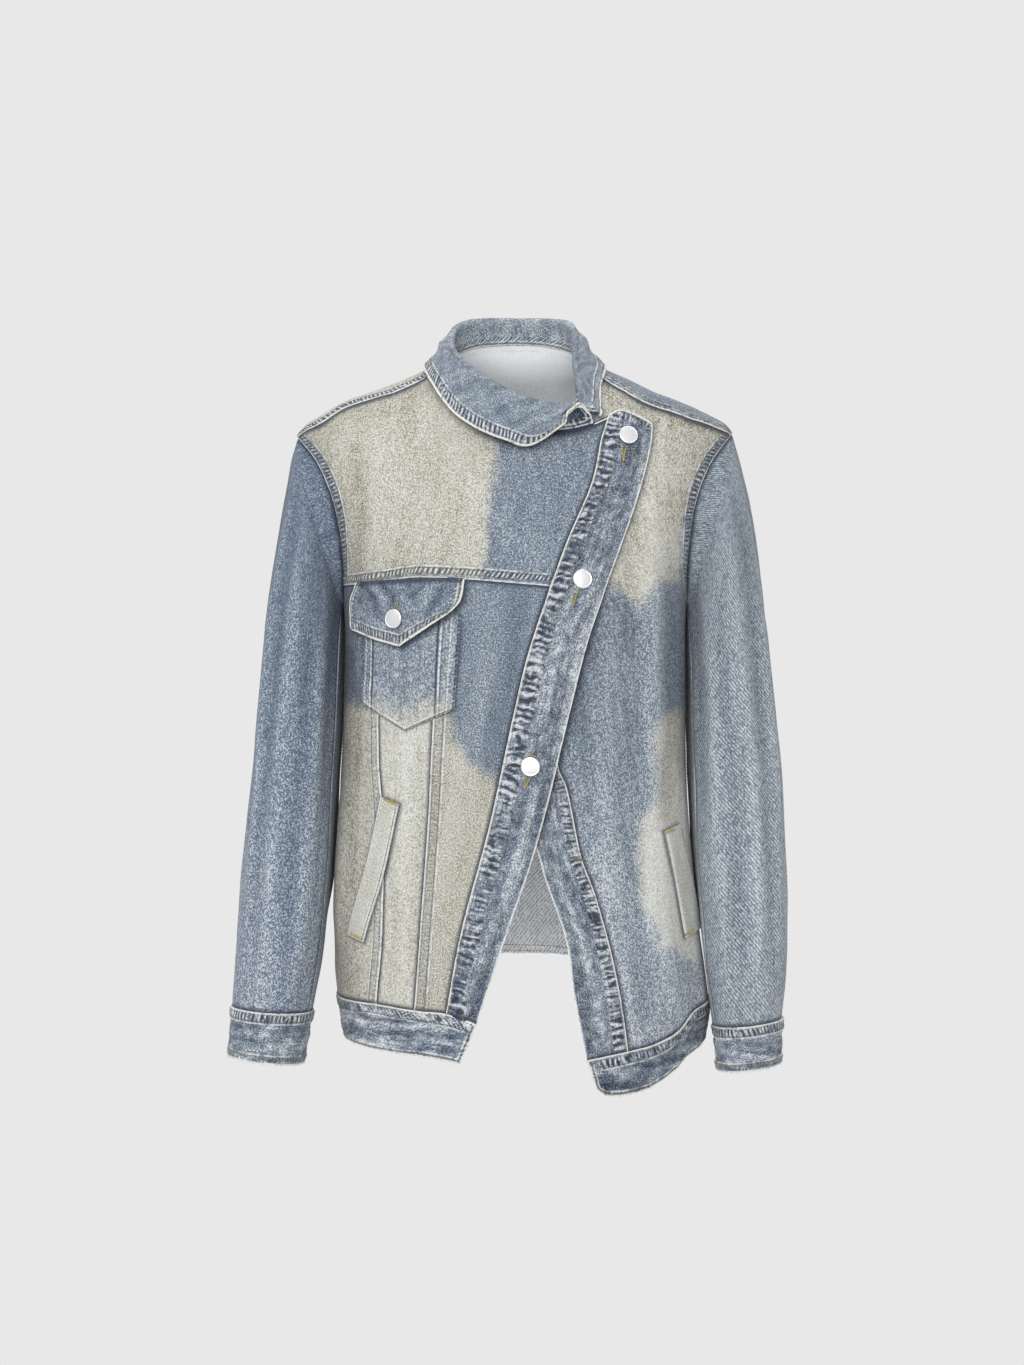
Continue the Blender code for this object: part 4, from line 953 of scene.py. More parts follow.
# Each cloth's blue, its ribs' pitch in millimetres and its weave parts' strengths, in their order.
clothTones = {
    "bodyCloth": ((111, 122, 135), 2.6, (0.16, 0.22, 0.95, 0.15, 0.06)),
    "rightSleeveCloth": ((101, 114, 131), 2.6, (0.14, 0.20, 0.95, 0.13, 0.05)),
    "leftSleeveCloth": ((128, 138, 147), 3.9, (0.78, 0.14, 0.65, 0.12, 0.05)),
    "bandCloth": ((114, 124, 136), 2.4, (0.20, 0.34, 0.95, 0.60, 0.55)),
    "collarCloth": ((113, 124, 136), 2.4, (0.16, 0.26, 0.95, 0.30, 0.28)),
}
materials = {}


def newMaterial(name):
    material = bpy.data.materials.new(name)
    material.use_nodes = True
    material.node_tree.nodes.clear()
    tree = Tree(material.node_tree)
    shader = tree.add("ShaderNodeBsdfPrincipled")
    tree.put(tree.add("ShaderNodeOutputMaterial").inputs["Surface"], shader.outputs[0])
    materials[name] = material
    return tree, shader


def makeCloth(name, blue, pitch, strengths):
    tree, shader = newMaterial(name)
    denim = tree.add("ShaderNodeGroup", node_tree=bpy.data.node_groups["washedDenim"])
    values = {label: tone(*colour) for label, colour in sharedTones.items()}
    values.update({mark.capitalize(): tree.attribute(mark) for mark in (*markStarts, "inner")})
    values.update({part + " Strength": strength for part, strength in zip(weaveParts, strengths)})
    values.update({"Place": tree.attribute("place", "Vector"), "Blue": tone(*blue), "Rib Pitch": pitch})
    for label, value in values.items():
        tree.put(denim.inputs[label], value)
    height = denim.outputs["Height"]
    bump = tree.add("ShaderNodeBump", {"Strength": 0.6, "Distance": 0.0012, "Height": height})
    for label, value in (("Base Color", denim.outputs["Color"]), ("Roughness", 0.92),
                         ("Normal", bump.outputs[0]), ("Specular IOR Level", 0.18), ("Sheen Weight", 0.08),
                         ("Sheen Roughness", 0.5)):
        tree.put(shader.inputs[label], value)


def makeThread(name, colour):
    tree, shader = newMaterial(name)
    place = tree.add("ShaderNodeTexCoord").outputs["Object"]
    worn = tree.ramp(tree.noise(place, (0.006, 0.006, 0.006), 2.0), 0.35, 0.7)
    rubbed = tree.mix(tree.calc("MULTIPLY", worn, 0.3), colour, tone(206, 203, 192))
    tree.put(shader.inputs["Base Color"], rubbed)
    tree.put(shader.inputs["Roughness"], 0.8)


def makeWornFold():
    tree, shader = newMaterial("wornFold")
    place = tree.add("ShaderNodeTexCoord").outputs["Object"]
    worn = tree.ramp(tree.noise(place, (0.0042, 0.0042, 0.0055), 2.0, 0.6), 0.30, 0.48)
    tree.put(shader.inputs["Base Color"], tree.mix(worn, tone(144, 149, 152), tone(210, 209, 203)))
    tree.put(shader.inputs["Roughness"], 0.9)


def makeSteel():
    tree, shader = newMaterial("steel")
    place = tree.add("ShaderNodeTexCoord").outputs["Object"]
    rubbed = tree.noise(place, (0.0016, 0.0016, 0.0016), 3.0)
    for label, value in (("Base Color", tone(232, 233, 234)), ("Metallic", 1.0),
                         ("Roughness", tree.ramp(rubbed, 0.3, 0.7, 0.30, 0.36))):
        tree.put(shader.inputs[label], value)


for name, tones in clothTones.items():
    makeCloth(name, *tones)
for name, colour in (("khakiThread", (112, 101, 70)), ("mustardThread", (168, 146, 56)),
                     ("ecruThread", (206, 204, 192))):
    makeThread(name, tone(*colour))
makeWornFold()
makeSteel()
print("materials made:", len(materials))


# The body's panels.
shoulderRight = ((-203, -63), (-181, -51.6), (-163, -39.3), (-141, -31.4), (-112, -23.7), (-78, -8))
shoulderLeft = ((201, -61), (169, -49.7), (151, -43.4), (121, -33.6), (98, -20), (80, -8))
neckRight = ((-78, -8), (-62, -26), (-43, -43), (-20, -54), (8, -61), (34, -65), (54, -63), (72, -57.5),
             (87, -50.5))
neckLeft = ((80, -8), (66, -28), (46, -44), (18, -54), (-16, -54))
neckBack = ((-78, -38, -8), (-78, -14, 0), (-72, 10, 9), (-60, 30, 20), (-34, 44, 28), (0, 50, 31),
            (34, 44, 28), (60, 30, 20), (73, 10, 9), (80, -14, 0), (80, -38, -8))
placketSeamHigh = ((87, -50.5), (80.5, -72), (71, -114), (49, -166), (33.4, -208))
placketSeamLow = ((33.4, -208), (13.4, -269), (-1, -330), (-20.9, -423), (-47.2, -524), (-60, -596))
placketEdgeHigh = ((126.8, -57.5), (125.5, -74), (116, -112), (105, -146), (81.5, -210))
placketEdgeLow = ((81.5, -210), (65, -259), (45, -337), (31, -400), (15, -459), (-7.3, -524), (-33.5, -604))
placketTop = ((87, -50.5), (98, -46), (112, -50), (126.8, -57.5))
yokeSeam = ((-157, -203.5), (-124.5, -202.6), (-104, -200), (-88, -199), (-61, -200.3), (0, -205),
            (33.4, -208))
sideSeamFront = ((-124.5, -202.6), (-125.3, -256), (-124.7, -366), (-121, -417), (-121, -522), (-127, -590.7))
middleSeamFront = ((-61, -200.3), (-66, -240), (-72, -334), (-76, -415), (-81.5, -491), (-89, -594))
bandRightTop = ((-165.4, -590), (-127, -590.7), (-89, -594), (-60, -596), (-33.5, -604))
bandRightHem = ((-159.5, -627), (-146, -630), (-114, -632.6), (-77, -635), (-48, -640))
leftSeamHidden = ((-16, -54), (-4, -120), (12, -220), (28, -310), (39.7, -375))
leftSeam = ((39.7, -375), (47, -391), (60, -454), (72, -487), (86.3, -538), (96.4, -585), (103, -632))
leftEdge = ((-44, -53), (-34, -130), (-24, -240), (-4, -340), (26, -465), (47, -528), (55, -583),
            (66, -638.5))
bandLeftTop = ((66, -638.5), (103, -632), (128, -627), (151, -617), (167, -600), (182, -590))
bandLeftHem = ((75, -664), (84, -670), (103, -670), (124, -665.5), (146, -653), (160, -641), (178, -629))
yokeBack = ((-160, -165), (-110, -168), (0, -170), (110, -168), (160, -165))
backSeamRight = ((-110, -168), (-96, -300), (-84, -420), (-76, -530))
backSeamLeft = ((110, -168), (96, -300), (84, -420), (76, -530))
bandBackTop = ((-165.4, -590), (-130, -560), (-76, -530), (0, -524), (76, -530), (130, -560), (182, -590))
bandBackHem = ((-159.5, -627), (-130, -598), (-76, -569), (0, -563), (76, -569), (130, -598), (178, -629))


def insideOutline(points, outline, soft, seed):
    # 1 inside an outline of the front view and 0 outside, with an uneven soft edge.
    x, z = points[..., 0], points[..., 2]
    inside = np.zeros(x.shape, dtype=bool)
    for (ax, az), (bx, bz) in zip(outline, outline[1:] + outline[:1]):
        crosses = ((az > z) != (bz > z)) & (x < (bx - ax) * (z - az) / (bz - az + 1e-9) + ax)
        inside ^= crosses
    nearest = lineDistance(points, outline, closed=True)
    signed = np.where(inside, nearest, -nearest)
    signed = signed + 5.5 * softNoise(points, (18, 18, 24), seed)
    signed = signed + 1.8 * softNoise(points, (6, 6, 9), seed + 1)
    return smoothStep(signed, -soft, soft)


# Where the dye is washed out, in front view.
paleYoke = [(-250, 40), (-10, 40), (-20, -71), (-16, -111), (-25, -138), (-29, -197), (-29, -215),
            (-250, -215)]
paleLowRight = [(-250, -313), (-141, -315), (-100, -322), (-60, -322), (-54, -343), (-40, -365), (-13, -388),
                (-14, -429), (-20, -493), (-40, -547), (-54, -584), (-56, -600), (-250, -600)]
palePocket = [(-160, -308), (-100, -322), (-40, -306), (-40, -370), (-160, -370)]
paleLeftChest = [(80, 20), (70, -190), (89, -211), (115, -222), (128, -215), (137, -203), (153, -202),
                 (160, -140), (225, -60), (225, 20)]
paleLeftSide = [(129, -336), (133, -365), (130, -397), (115, -420), (111, -466), (115, -497), (128, -525),
                (137, -538), (165, -550), (230, -550), (230, -330), (150, -322)]
paleBackLeft = [(20, -190), (60, -205), (118, -230), (128, -330), (90, -420), (52, -395), (34, -300)]
paleBackRight = [(-150, -330), (-92, -350), (-60, -430), (-75, -560), (-160, -560)]
paleBackYoke = [(-230, 20), (-95, 40), (-70, -60), (-96, -120), (-230, -160)]


def frontWash(*outlines, soft=15.0):
    return lambda grid: np.clip(sum(insideOutline(grid, o, soft, 70) for o in outlines), 0, 1)


# Lines of the front view under which a piece lies, where painted shadow darkens it, and its soft folds: line,
# width, rise.
yokeRim = ((-78, -8), (-112, -23.7), (-163, -39.3), (-200, -63), (-178, -100), (-166, -140), (-160, -200),
           (-100, -204))
chestRim = ((80, -8), (121, -33.6), (169, -49.7), (201, -61), (184, -90), (172, -130))
collarFall = ((50, -57), (33, -63), (22, -72), (14, -78), (-8, -74), (-34, -63), (-54, -48), (-68, -30),
              (-79, -10))
flapLow = ((-149, -206), (-150, -224), (-148.5, -245), (-102, -262.5), (-57, -234), (-46, -222), (-43, -204))
pocketLow = ((-139, -236), (-139, -313), (-98.5, -339), (-53.5, -319), (-47.5, -236))
weltLow = ((-121, -400), (-104, -406), (-118, -470), (-138, -534), (-153, -529), (-133, -455), (-121, -400))
frontFolds = (
    (((-146, -80), (-143, -140), (-148, -196)), 7, -0.9), (((-128, -60), (-124, -130), (-127, -190)), 8, 0.8),
    (((-152, -268), (-146, -330), (-147, -380)), 6, -1.0),
    (((-100, -350), (-96, -420), (-101, -480)), 9, 0.9),
    (((-84, -360), (-86, -430), (-92, -560)), 7, -0.7), (((-120, -440), (-112, -500), (-116, -570)), 8, -0.8),
    (((-14, -225), (-24, -300), (-44, -370)), 11, 0.9), (((4, -216), (-4, -280), (-20, -340)), 8, -0.7),
    (((-46, -250), (-60, -300), (-58, -350)), 9, -0.6), (((-54, -400), (-70, -470), (-76, -560)), 9, 0.7),
    (((-30, -120), (-8, -160), (26, -186)), 10, 0.7), (((-80, -90), (-60, -140), (-66, -190)), 12, -0.5),
)
leftFolds = (
    (((112, -60), (108, -160), (104, -260)), 8, -0.9), (((127, -130), (128, -300), (126, -520)), 9, 0.9),
    (((144, -190), (146, -300), (142, -420)), 7, -1.0), (((90, -280), (84, -380), (92, -500)), 12, 0.8),
    (((70, -250), (62, -340), (72, -430)), 10, -0.8), (((104, -430), (112, -520), (118, -600)), 8, -0.8),
    (((134, -440), (140, -520), (150, -600)), 7, 0.8), (((90, -520), (104, -570), (110, -620)), 8, 0.6),
)


def rimShade(grid, line, reach, amount):
    # Browner cloth along a line.
    spread = reach * (1 + 0.35 * softNoise(grid, (22, 22, 30), 77))
    return amount * np.exp(-(lineDistance(grid, line) / spread) ** 2)


def panelGrid(low, high, first, last, columns, rows, lift=None):
    grid = patch(low, high, first, last, columns, rows)
    normals = bodyNormal(grid)
    out = bodyFold(grid)
    if lift is not None:
        out = out + lift(grid)
    return grid + normals * out[..., None], normals


def ends(line):
    return line(np.array([0.0, 1.0]))


def straight(start, end):
    return lambda shares: start + (end - start) * np.asarray(shares, dtype=float)[:, None]


def evenly(lift):
    return lambda points: np.full(points.shape[:-1], lift)


def bandLift(points):
    return frontLift(points) + garment["bandStep"]


def edgeDistance(points):
    # How far points lie inside the right placket's front edge.
    reach = sorted((z, x) for x, z in placketEdgeHigh + placketEdgeLow[1:])
    return np.interp(points[..., 2], [z for z, _ in reach], [x for _, x in reach]) - points[..., 0]


def placketLift(points):
    # The edge rolls outwards at the waist and near the hem.
    z = points[..., 2]
    roll = 5.0 * np.exp(-((z + 340) / 55) ** 2) + 3.0 * np.exp(-((z + 560) / 60) ** 2)
    return bandLift(points) + roll * np.clip(1 - edgeDistance(points) / 40, 0, 1)


pieces = {}


def makePanel(name, look, edges, low, high, first, last, columns, rows, lift=None):
    grid, normals = panelGrid(low, high, first, last, columns, rows, lift)
    own = look.get("shade", lambda points: 0.0)
    # The body's folds also colour the cloth: ridges lighter, from wear and painted light, troughs darker,
    # painted shade.
    look = {**look, "shade": lambda points: own(points) + 0.03 * bodyFold(points)}
    pieces[name] = Cloth(name, grid, normals, edges, look)
    pieces[name].build()


def makeBand(name, look, edges, low, high, columns, rows, lift):
    sides = [straight(start, end) for start, end in zip(ends(low), ends(high))]
    makePanel(name, look, edges, low, high, *sides, columns, rows, lift)


# What the pieces of the fronts and of the back share.
frontCloth = {"material": "bodyCloth", "region": "Front"}
backCloth = {"material": "bodyCloth", "region": "Back"}
frontBand = {"material": "bandCloth", "region": "Front", "cloth": garment["bandCloth"], "wrong": 0.0}
hemBand = {**frontBand, "grain": 90, "held": "folded"}


arm = armholeLine(-1, 2, 10)
under = armholeLine(-1, 0, 2)
side = sideLine(-1, bandRightTop[0][1], float(ends(under)[0][2]))
shoulder = pinned(seamLine(shoulderRight), first=ends(arm)[1])
neck = joined((seamLine(neckRight, last=7), 8), (seamLine(neckRight, first=7), 1))
yokeSide = pinned(seamLine(yokeSeam, last=1), first=ends(arm)[0])
yokeMiddle = seamLine(yokeSeam, first=1, last=4)
yokeCentre = seamLine(yokeSeam, first=4)
seamOne = turned(seamLine(sideSeamFront))
seamTwo = turned(seamLine(middleSeamFront))
seamThree = turned(seamLine(placketSeamLow))
seamHigh = turned(seamLine(placketSeamHigh))
hemSide = pinned(seamLine(bandRightTop, last=1), first=ends(side)[0])
hemMiddle = seamLine(bandRightTop, first=1, last=2)
hemCentre = seamLine(bandRightTop, first=2, last=3)
hemPlacket = seamLine(bandRightTop, first=3)

rightFrontYoke = {**frontCloth, "slot": "denim_pale", "seed": 1,
                  "wash": frontWash(paleYoke),
                  "shade": lambda grid: -0.08 - rimShade(grid, yokeRim, 26, 0.22),
                  # Painted shadow under the collar's fall and along the neck strip.
                  "castShadows": ((collarFall, 10, 0.55), (((50, -64), (66, -66), (82, -63)), 2.6, 0.6)),
                  "folds": frontFolds, "cut": (0.3, 0.22, 0.045)}
makePanel("right_front_yoke", rightFrontYoke,
          [edge("b", "lap", rows=(4.2, 9.3), band=10.2, pucker=0.12, ruck=1.5, start=4.0, kept=0.5,
                white=0.8),
           edge("l", "lap", rows=(2.4, 10.5), band=11.0, pucker=0.16, kept=0.92, ruck=0.9),
           edge("r", "under"), edge("t", "under", reach=1.8)],
          joined((yokeSide, 4), (yokeMiddle, 6), (yokeCentre, 6)), joined((shoulder, 7), (neck, 9)),
          arm, seamHigh, 96, 80, frontLift)

# Painted shadow under the flap's edge, beside the pocket and round the welt: line, reach, strength.
rightShadowLines = ((flapLow, 8, 0.75), (pocketLow, 3.0, 0.5), (weltLow, 5.0, 0.8))
rightCloth = {**frontCloth, "wash": frontWash(paleLowRight), "castShadows": rightShadowLines, "folds": frontFolds}
rightFrontSide = {**rightCloth, "seed": 2, "cut": (0.16, 0.4, 0.042),
                  "shade": lambda grid: 0.08 - 0.36 * smoothStep(-grid[..., 0], 118, 158)}
makePanel("right_front_side", rightFrontSide,
          [edge("r", "lap", rows=(2.2, 8.8), pucker=0.06, ruck=0.45, kept=0.2), *tucked("ltb")],
          hemSide, yokeSide, joined((side, 15), (under, 2)), seamOne, 40, 188, frontLift)

rightFrontMiddle = {**rightCloth, "slot": "denim_pale", "seed": 3, "shade": lambda grid: 0.12,
                    "cut": (0.08, 0.4, 0.023)}
makePanel("right_front_middle", rightFrontMiddle, tucked("lrtb"),
          hemMiddle, yokeMiddle, seamOne, seamTwo, 36, 188, frontLift)

rightFrontCentre = {**rightCloth, "seed": 4, "cut": (0.12, 0.41, 0.026),
                    "shade": lambda grid: -0.08 - 0.14 * smoothStep(-grid[..., 2], 330, 400)}
makePanel("right_front_centre", rightFrontCentre,
          [edge("l", "lap", rows=(2.2, 9.6), band=11.0, pucker=0.06, ruck=0.45, kept=0.2), *tucked("rtb")],
          hemCentre, yokeCentre, seamTwo, seamThree, 40, 188, frontLift)

edgeHigh = turned(seamLine(placketEdgeHigh))
edgeLow = turned(seamLine(placketEdgeLow))
placketDepths, placketShades = (90, 200, 320, 450, 590), (-0.20, -0.04, -0.02, 0.0, -0.06)
rightPlacket = {**frontBand, "seed": 5, "ripple": 0.4, "crumple": (0.28, 9, 16), "cut": (0.06, 0.61, 0.027),
                "shade": lambda grid: np.interp(-grid[..., 2], placketDepths, placketShades)}
makePanel("right_placket", rightPlacket,
          [edge("l", "lap", pucker=0.95, rows=(2.6, 16.0), band=17.5, wave=8.0, ruck=0.35, brim=False),
           edge("r", "free", rows=(9.2,), band=10.0, pucker=0.06, lift=0.3, ruck=0.15, brim=False),
           edge("t", "free", rows=(2.4, 7.5), band=9.0, pucker=0.5, wave=5.0, roll=1.2, brim=False),
           edge("b", "under")],
          hemPlacket, seamLine(placketTop), joined((seamThree, 17), (seamHigh, 8)),
          joined((edgeLow, 17), (edgeHigh, 8)), 30, 352, placketLift)

hemLow = seamLine(bandRightHem)
hemHigh = joined((hemSide, 4), (hemMiddle, 6), (hemCentre, 6), (hemPlacket, 3))
waistbandRight = {**hemBand, "seed": 6, "ripple": 0.4, "crumple": (0.85, 22, 5), "shade": lambda grid: 0.09,
                  "cut": (0.2, 0.05, 0.0076)}
makeBand("waistband_right", waistbandRight,
         [edge("t", "lap", pucker=0.45, rows=(2.2, 9.6), band=10.8), edge("r", "free", rows=(2.5,), band=5.0),
          edge("b", "free", rows=(2.4,), band=5.0, pucker=0.2)],
         hemLow, hemHigh, 130, 24, bandLift)

arm = armholeLine(1, 0, 10)
side = sideLine(1, bandLeftTop[-1][1], float(ends(arm)[0][2]))
inner = turned(joined((seamLine(leftSeamHidden), 13), (seamLine(leftSeam), 13)))
shoulder = pinned(seamLine(shoulderLeft), first=ends(arm)[1])
hemPlacket = seamLine(bandLeftTop, last=1)
hem = pinned(seamLine(bandLeftTop, first=1), last=ends(side)[0])
neck = joined((seamLine(neckLeft, last=2), 3), (seamLine(neckLeft, first=2), 3))
leftFront = {**frontCloth, "seed": 7,
             "wash": frontWash(paleLeftChest, paleLeftSide), "folds": leftFolds,
             "shade": lambda grid: (0.05 + 0.20 * smoothStep(-grid[..., 2], 360, 500)
                                    - rimShade(grid, chestRim, 34, 0.38)),
             # Painted shadow beside the right placket's edge and round the welt.
             "castShadows": ((placketEdgeHigh, 8, 0.7), (placketEdgeLow, 9, 0.8),
                         (((76, -225), (65, -259), (45, -337), (31, -400)), 13, 1.0),
                         (((136.7, -432), (151, -427), (160, -470), (169.5, -525)), 4, 0.7),
                         (((136.7, -432), (147, -476), (158, -532)), 4, 0.8)), "cut": (0.3, 0.66, 0.112)}
makePanel("left_front", leftFront,
          [edge("r", "lap", rows=(2.4, 10.5), band=11.0, span=(0.62, 1.0), pucker=0.18, kept=0.92, ruck=0.9),
           edge("l", "under"),
           edge("t", "under", reach=1.8),
           edge("b", "under")],
          hem, turned(joined((shoulder, 7), (neck, 6))), inner, joined((side, 16), (arm, 10)), 96, 260)

leftPlacket = {**frontBand, "seed": 8, "cloth": garment["hiddenBand"], "ripple": 0.3,
               # Painted shadow beside the right placket's edge.
               "crumple": (0.35, 9, 16), "castShadows": ((placketEdgeLow, 10, 0.8),),
               "cut": (0.055, 0.61, 0.0235)}
makePanel("left_placket", leftPlacket,
          [edge("r", "lap", pucker=0.95, rows=(2.2, 9.5), band=13.0, wave=8.0, brim=False),
           edge("l", "free", rows=(8.5,), brim=False, pucker=0.08, ruck=0.12),
           *tucked("tb")],
          hemPlacket, turned(seamLine(((-16, -54), (-44, -53)))), turned(seamLine(leftEdge)), inner, 30, 312,
          evenly(0.4))

hemLow = seamLine(bandLeftHem)
hemHigh = joined((hemPlacket, 3), (hem, 13))
waistbandLeft = {**hemBand, "seed": 9, "crumple": (0.7, 13, 6), "shade": lambda grid: -0.28,
                 "cut": (0.18, 0.045, 0.0063)}
makeBand("waistband_left", waistbandLeft,
         [edge("t", "lap", pucker=0.6, rows=(2.2, 9.8), band=11), edge("l", "free", rows=(2.5,), band=5.0),
          edge("b", "free", rows=(2.4,), band=5.0, pucker=0.3)],
         hemLow, hemHigh, 116, 24, evenly(garment["bandStep"]))

rightArm = armholeLine(-1, 18, 10)
leftArm = armholeLine(1, 18, 10)
shoulderOne = pinned(seamLine(shoulderRight), first=ends(rightArm)[1])
shoulderTwo = pinned(seamLine(shoulderLeft), first=ends(leftArm)[1])
neck = pinned(seamLine(neckBack), ends(shoulderOne)[1], ends(shoulderTwo)[1])
yokeOne = pinned(seamLine(yokeBack, "back", last=1), first=ends(rightArm)[0])
yokeTwo = seamLine(yokeBack, "back", first=1, last=3)
yokeThree = pinned(seamLine(yokeBack, "back", first=3), last=ends(leftArm)[0])
backYoke = {**backCloth, "seed": 10, "wash": frontWash(paleBackYoke),
            "shade": lambda grid: -0.10 * (1 - smoothStep(gridDistances(grid)["t"][0], 10, 40)),
            "cut": (0.48, 0.24, 0.095)}
makePanel("back_yoke", backYoke,
          [edge("b", "lap"), edge("t", "lap", rows=(1.9, 8.2), pucker=0.7, wave=4.6, ruck=2.0, kept=0.9),
           edge("l", "lap"), edge("r", "lap")],
          joined((yokeOne, 7), (yokeTwo, 12), (yokeThree, 7)),
          joined((shoulderOne, 7), (neck, 12), (turned(shoulderTwo), 7)),
          rightArm, leftArm, 182, 72)

rightUnder = armholeLine(-1, 21, 18)
leftUnder = armholeLine(1, 21, 18)
rightSide = joined((sideLine(-1, bandRightTop[0][1], float(ends(rightUnder)[0][2])), 12), (rightUnder, 3))
leftSide = joined((sideLine(1, bandLeftTop[-1][1], float(ends(leftUnder)[0][2])), 12), (leftUnder, 3))
seamOne = turned(seamLine(backSeamRight, "back"))
seamTwo = turned(seamLine(backSeamLeft, "back"))
hemOne = pinned(seamLine(bandBackTop, "back", last=2), first=ends(rightSide)[0])
hemTwo = seamLine(bandBackTop, "back", first=2, last=4)
hemThree = pinned(seamLine(bandBackTop, "back", first=4), last=ends(leftSide)[0])
backSideRight = {**backCloth, "seed": 11, "wash": frontWash(paleBackRight),
                 "cut": (0.15, 0.43, 0.049)}
makePanel("back_side_right", backSideRight,
          [edge("l", "lap", rows=(1.9, 8.4)), *tucked("rtb")],
          hemOne, yokeOne, rightSide, seamOne, 50, 150)
backCentre = {**backCloth, "seed": 12, "wash": frontWash(paleBackLeft),
              # Painted light on the inside of the lower back.
              "innerShade": lambda cloth: 0.35 * smoothStep(-cloth.base[..., 2], 330, 450),
              "cut": (0.23, 0.37, 0.068)}
makePanel("back_centre", backCentre,
          [edge("l", "lap", rows=(1.9, 8.4)), edge("r", "lap", rows=(1.9, 8.4)), *tucked("tb")],
          hemTwo, yokeTwo, seamOne, seamTwo, 84, 150)
backSideLeft = {**backCloth, "seed": 13, "wash": frontWash(paleBackLeft),
                "cut": (0.15, 0.43, 0.05)}
makePanel("back_side_left", backSideLeft,
          [edge("r", "lap", rows=(1.9, 8.4)), *tucked("ltb")],
          hemThree, yokeThree, seamTwo, leftSide, 50, 150)

hemLow = seamLine(bandBackHem, "back")
hemHigh = joined((hemOne, 7), (hemTwo, 12), (hemThree, 7))
waistbandBack = {**hemBand, "region": "Back", "seed": 14, "wrong": 1.0, "crumple": (0.6, 13, 6), "grain": 0,
                 # Painted light on the band's inside.
                 "innerShade": lambda cloth: 0.35, "cut": (0.47, 0.045, 0.018)}
makeBand("waistband_back", waistbandBack,
         [edge("t", "lap", pucker=0.55, rows=(1.9, 9.6), band=11), edge("b", "free", rows=(2.2,), band=5.0)],
         hemLow, hemHigh, 260, 20, evenly(garment["bandStep"]))


# What is sewn on the fronts.
def outlineGrid(outline, columns, rows, lift):
    low = seamLine(outline["low"])
    if len(outline["low"]) == 3:
        low = joined((seamLine(outline["low"][:2]), 1), (seamLine(outline["low"][1:]), 1))
    return (low, seamLine(outline["top"]), turned(seamLine(outline["right"])),
            turned(seamLine(outline["left"])), columns, rows, lift)


flapOutline = {"top": ((-143.4, -203), (-44.4, -203)),
               "right": ((-143.4, -203), (-149, -222), (-147.5, -245)),
               "left": ((-44.4, -203), (-48, -222), (-58, -233)),
               "low": ((-147.5, -245), (-102, -261.5), (-58, -233))}
pocketOutline = {"top": ((-139, -232), (-47.5, -234)), "right": ((-139, -232), (-139, -313)),
                 "left": ((-47.5, -234), (-53.5, -319)), "low": ((-139, -313), (-98.5, -339), (-53.5, -319))}
chestPocket = {**frontCloth, "seed": 15, "cloth": garment["pocketCloth"],
               # Painted shadow under the flap.
               "wash": frontWash(palePocket, soft=28.0), "castShadows": ((flapLow, 9, 0.9),),
               "shade": lambda grid: 0.07,
               "creases": (("l", 5.3, 0.9, 0.8), ("l", 13.2, 0.9, 0.8), ("l", 15.6, 0.9, -0.9),
                           ("l", 0.8, 1.0, -0.6), ("r", 8.2, 0.9, 0.8), ("r", 17.2, 0.9, 0.8),
                           ("r", 20.4, 1.0, -0.9), ("r", 1.0, 1.2, -0.7), ("b", 0.4, 1.4, -0.5)),
               "cut": (0.11, 0.11, 0.0101)}
makePanel("chest_pocket", chestPocket,
          [edge("b", "lap", rows=(1.6,), band=3.0, lift=0.2, pucker=0.1, ruck=0.3, white=0.0, kept=0.2),
           edge("l", "lap", rows=(6.6, 12.0), band=14.0, pucker=0.05, ruck=0.5, white=0.0, kept=0.2),
           edge("r", "lap", rows=(9.6, 15.8), band=18.5, pucker=0.08, ruck=0.3, white=0.0, kept=0.35)],
          *outlineGrid(pocketOutline, 100, 64, lambda points: frontLift(points) + 1.5))
flapFolds = (
    (((-140, -206), (-128, -220), (-124, -232)), 3.2, -1.9), (((-133, -206), (-118, -218)), 4.2, 1.1),
    (((-122, -206), (-112, -218), (-108, -228)), 3.0, -1.8),
    (((-70, -207), (-80, -222), (-92, -230)), 4.6, 1.1),
    (((-64, -209), (-70, -222), (-80, -234)), 3.4, -1.3), (((-96, -206), (-94, -216)), 3.4, -1.4),
    (((-146, -228), (-134, -238), (-118, -243)), 3.6, 0.9), (((-52, -210), (-56, -222)), 3.0, 0.8),
)
chestFlap = {**frontCloth, "seed": 16, "cloth": garment["flapCloth"], "ripple": 0.6, "crumple": (0.3, 8, 9),
             "shade": lambda grid: -0.12 * smoothStep(grid[..., 2], -246, -206), "folds": flapFolds,
             "cut": (0.13, 0.06, 0.0062)}
makePanel("chest_flap", chestFlap,
          [edge("b", "free", rows=(2.6, 8.4), pucker=0.4, ruck=1.0, wave=5.0, roll=1.15),
           edge("l", "free", rows=(2.4,), band=7, roll=1.05, ruck=1.0),
           edge("r", "free", rows=(2.4,), band=7, roll=1.15, ruck=1.0), edge("t", "under", gutter=0.9)],
          *outlineGrid(flapOutline, 64, 40,
                       lambda points: frontLift(points) + 4.5 + 1.6 * (-203 - points[..., 2]) / 60))
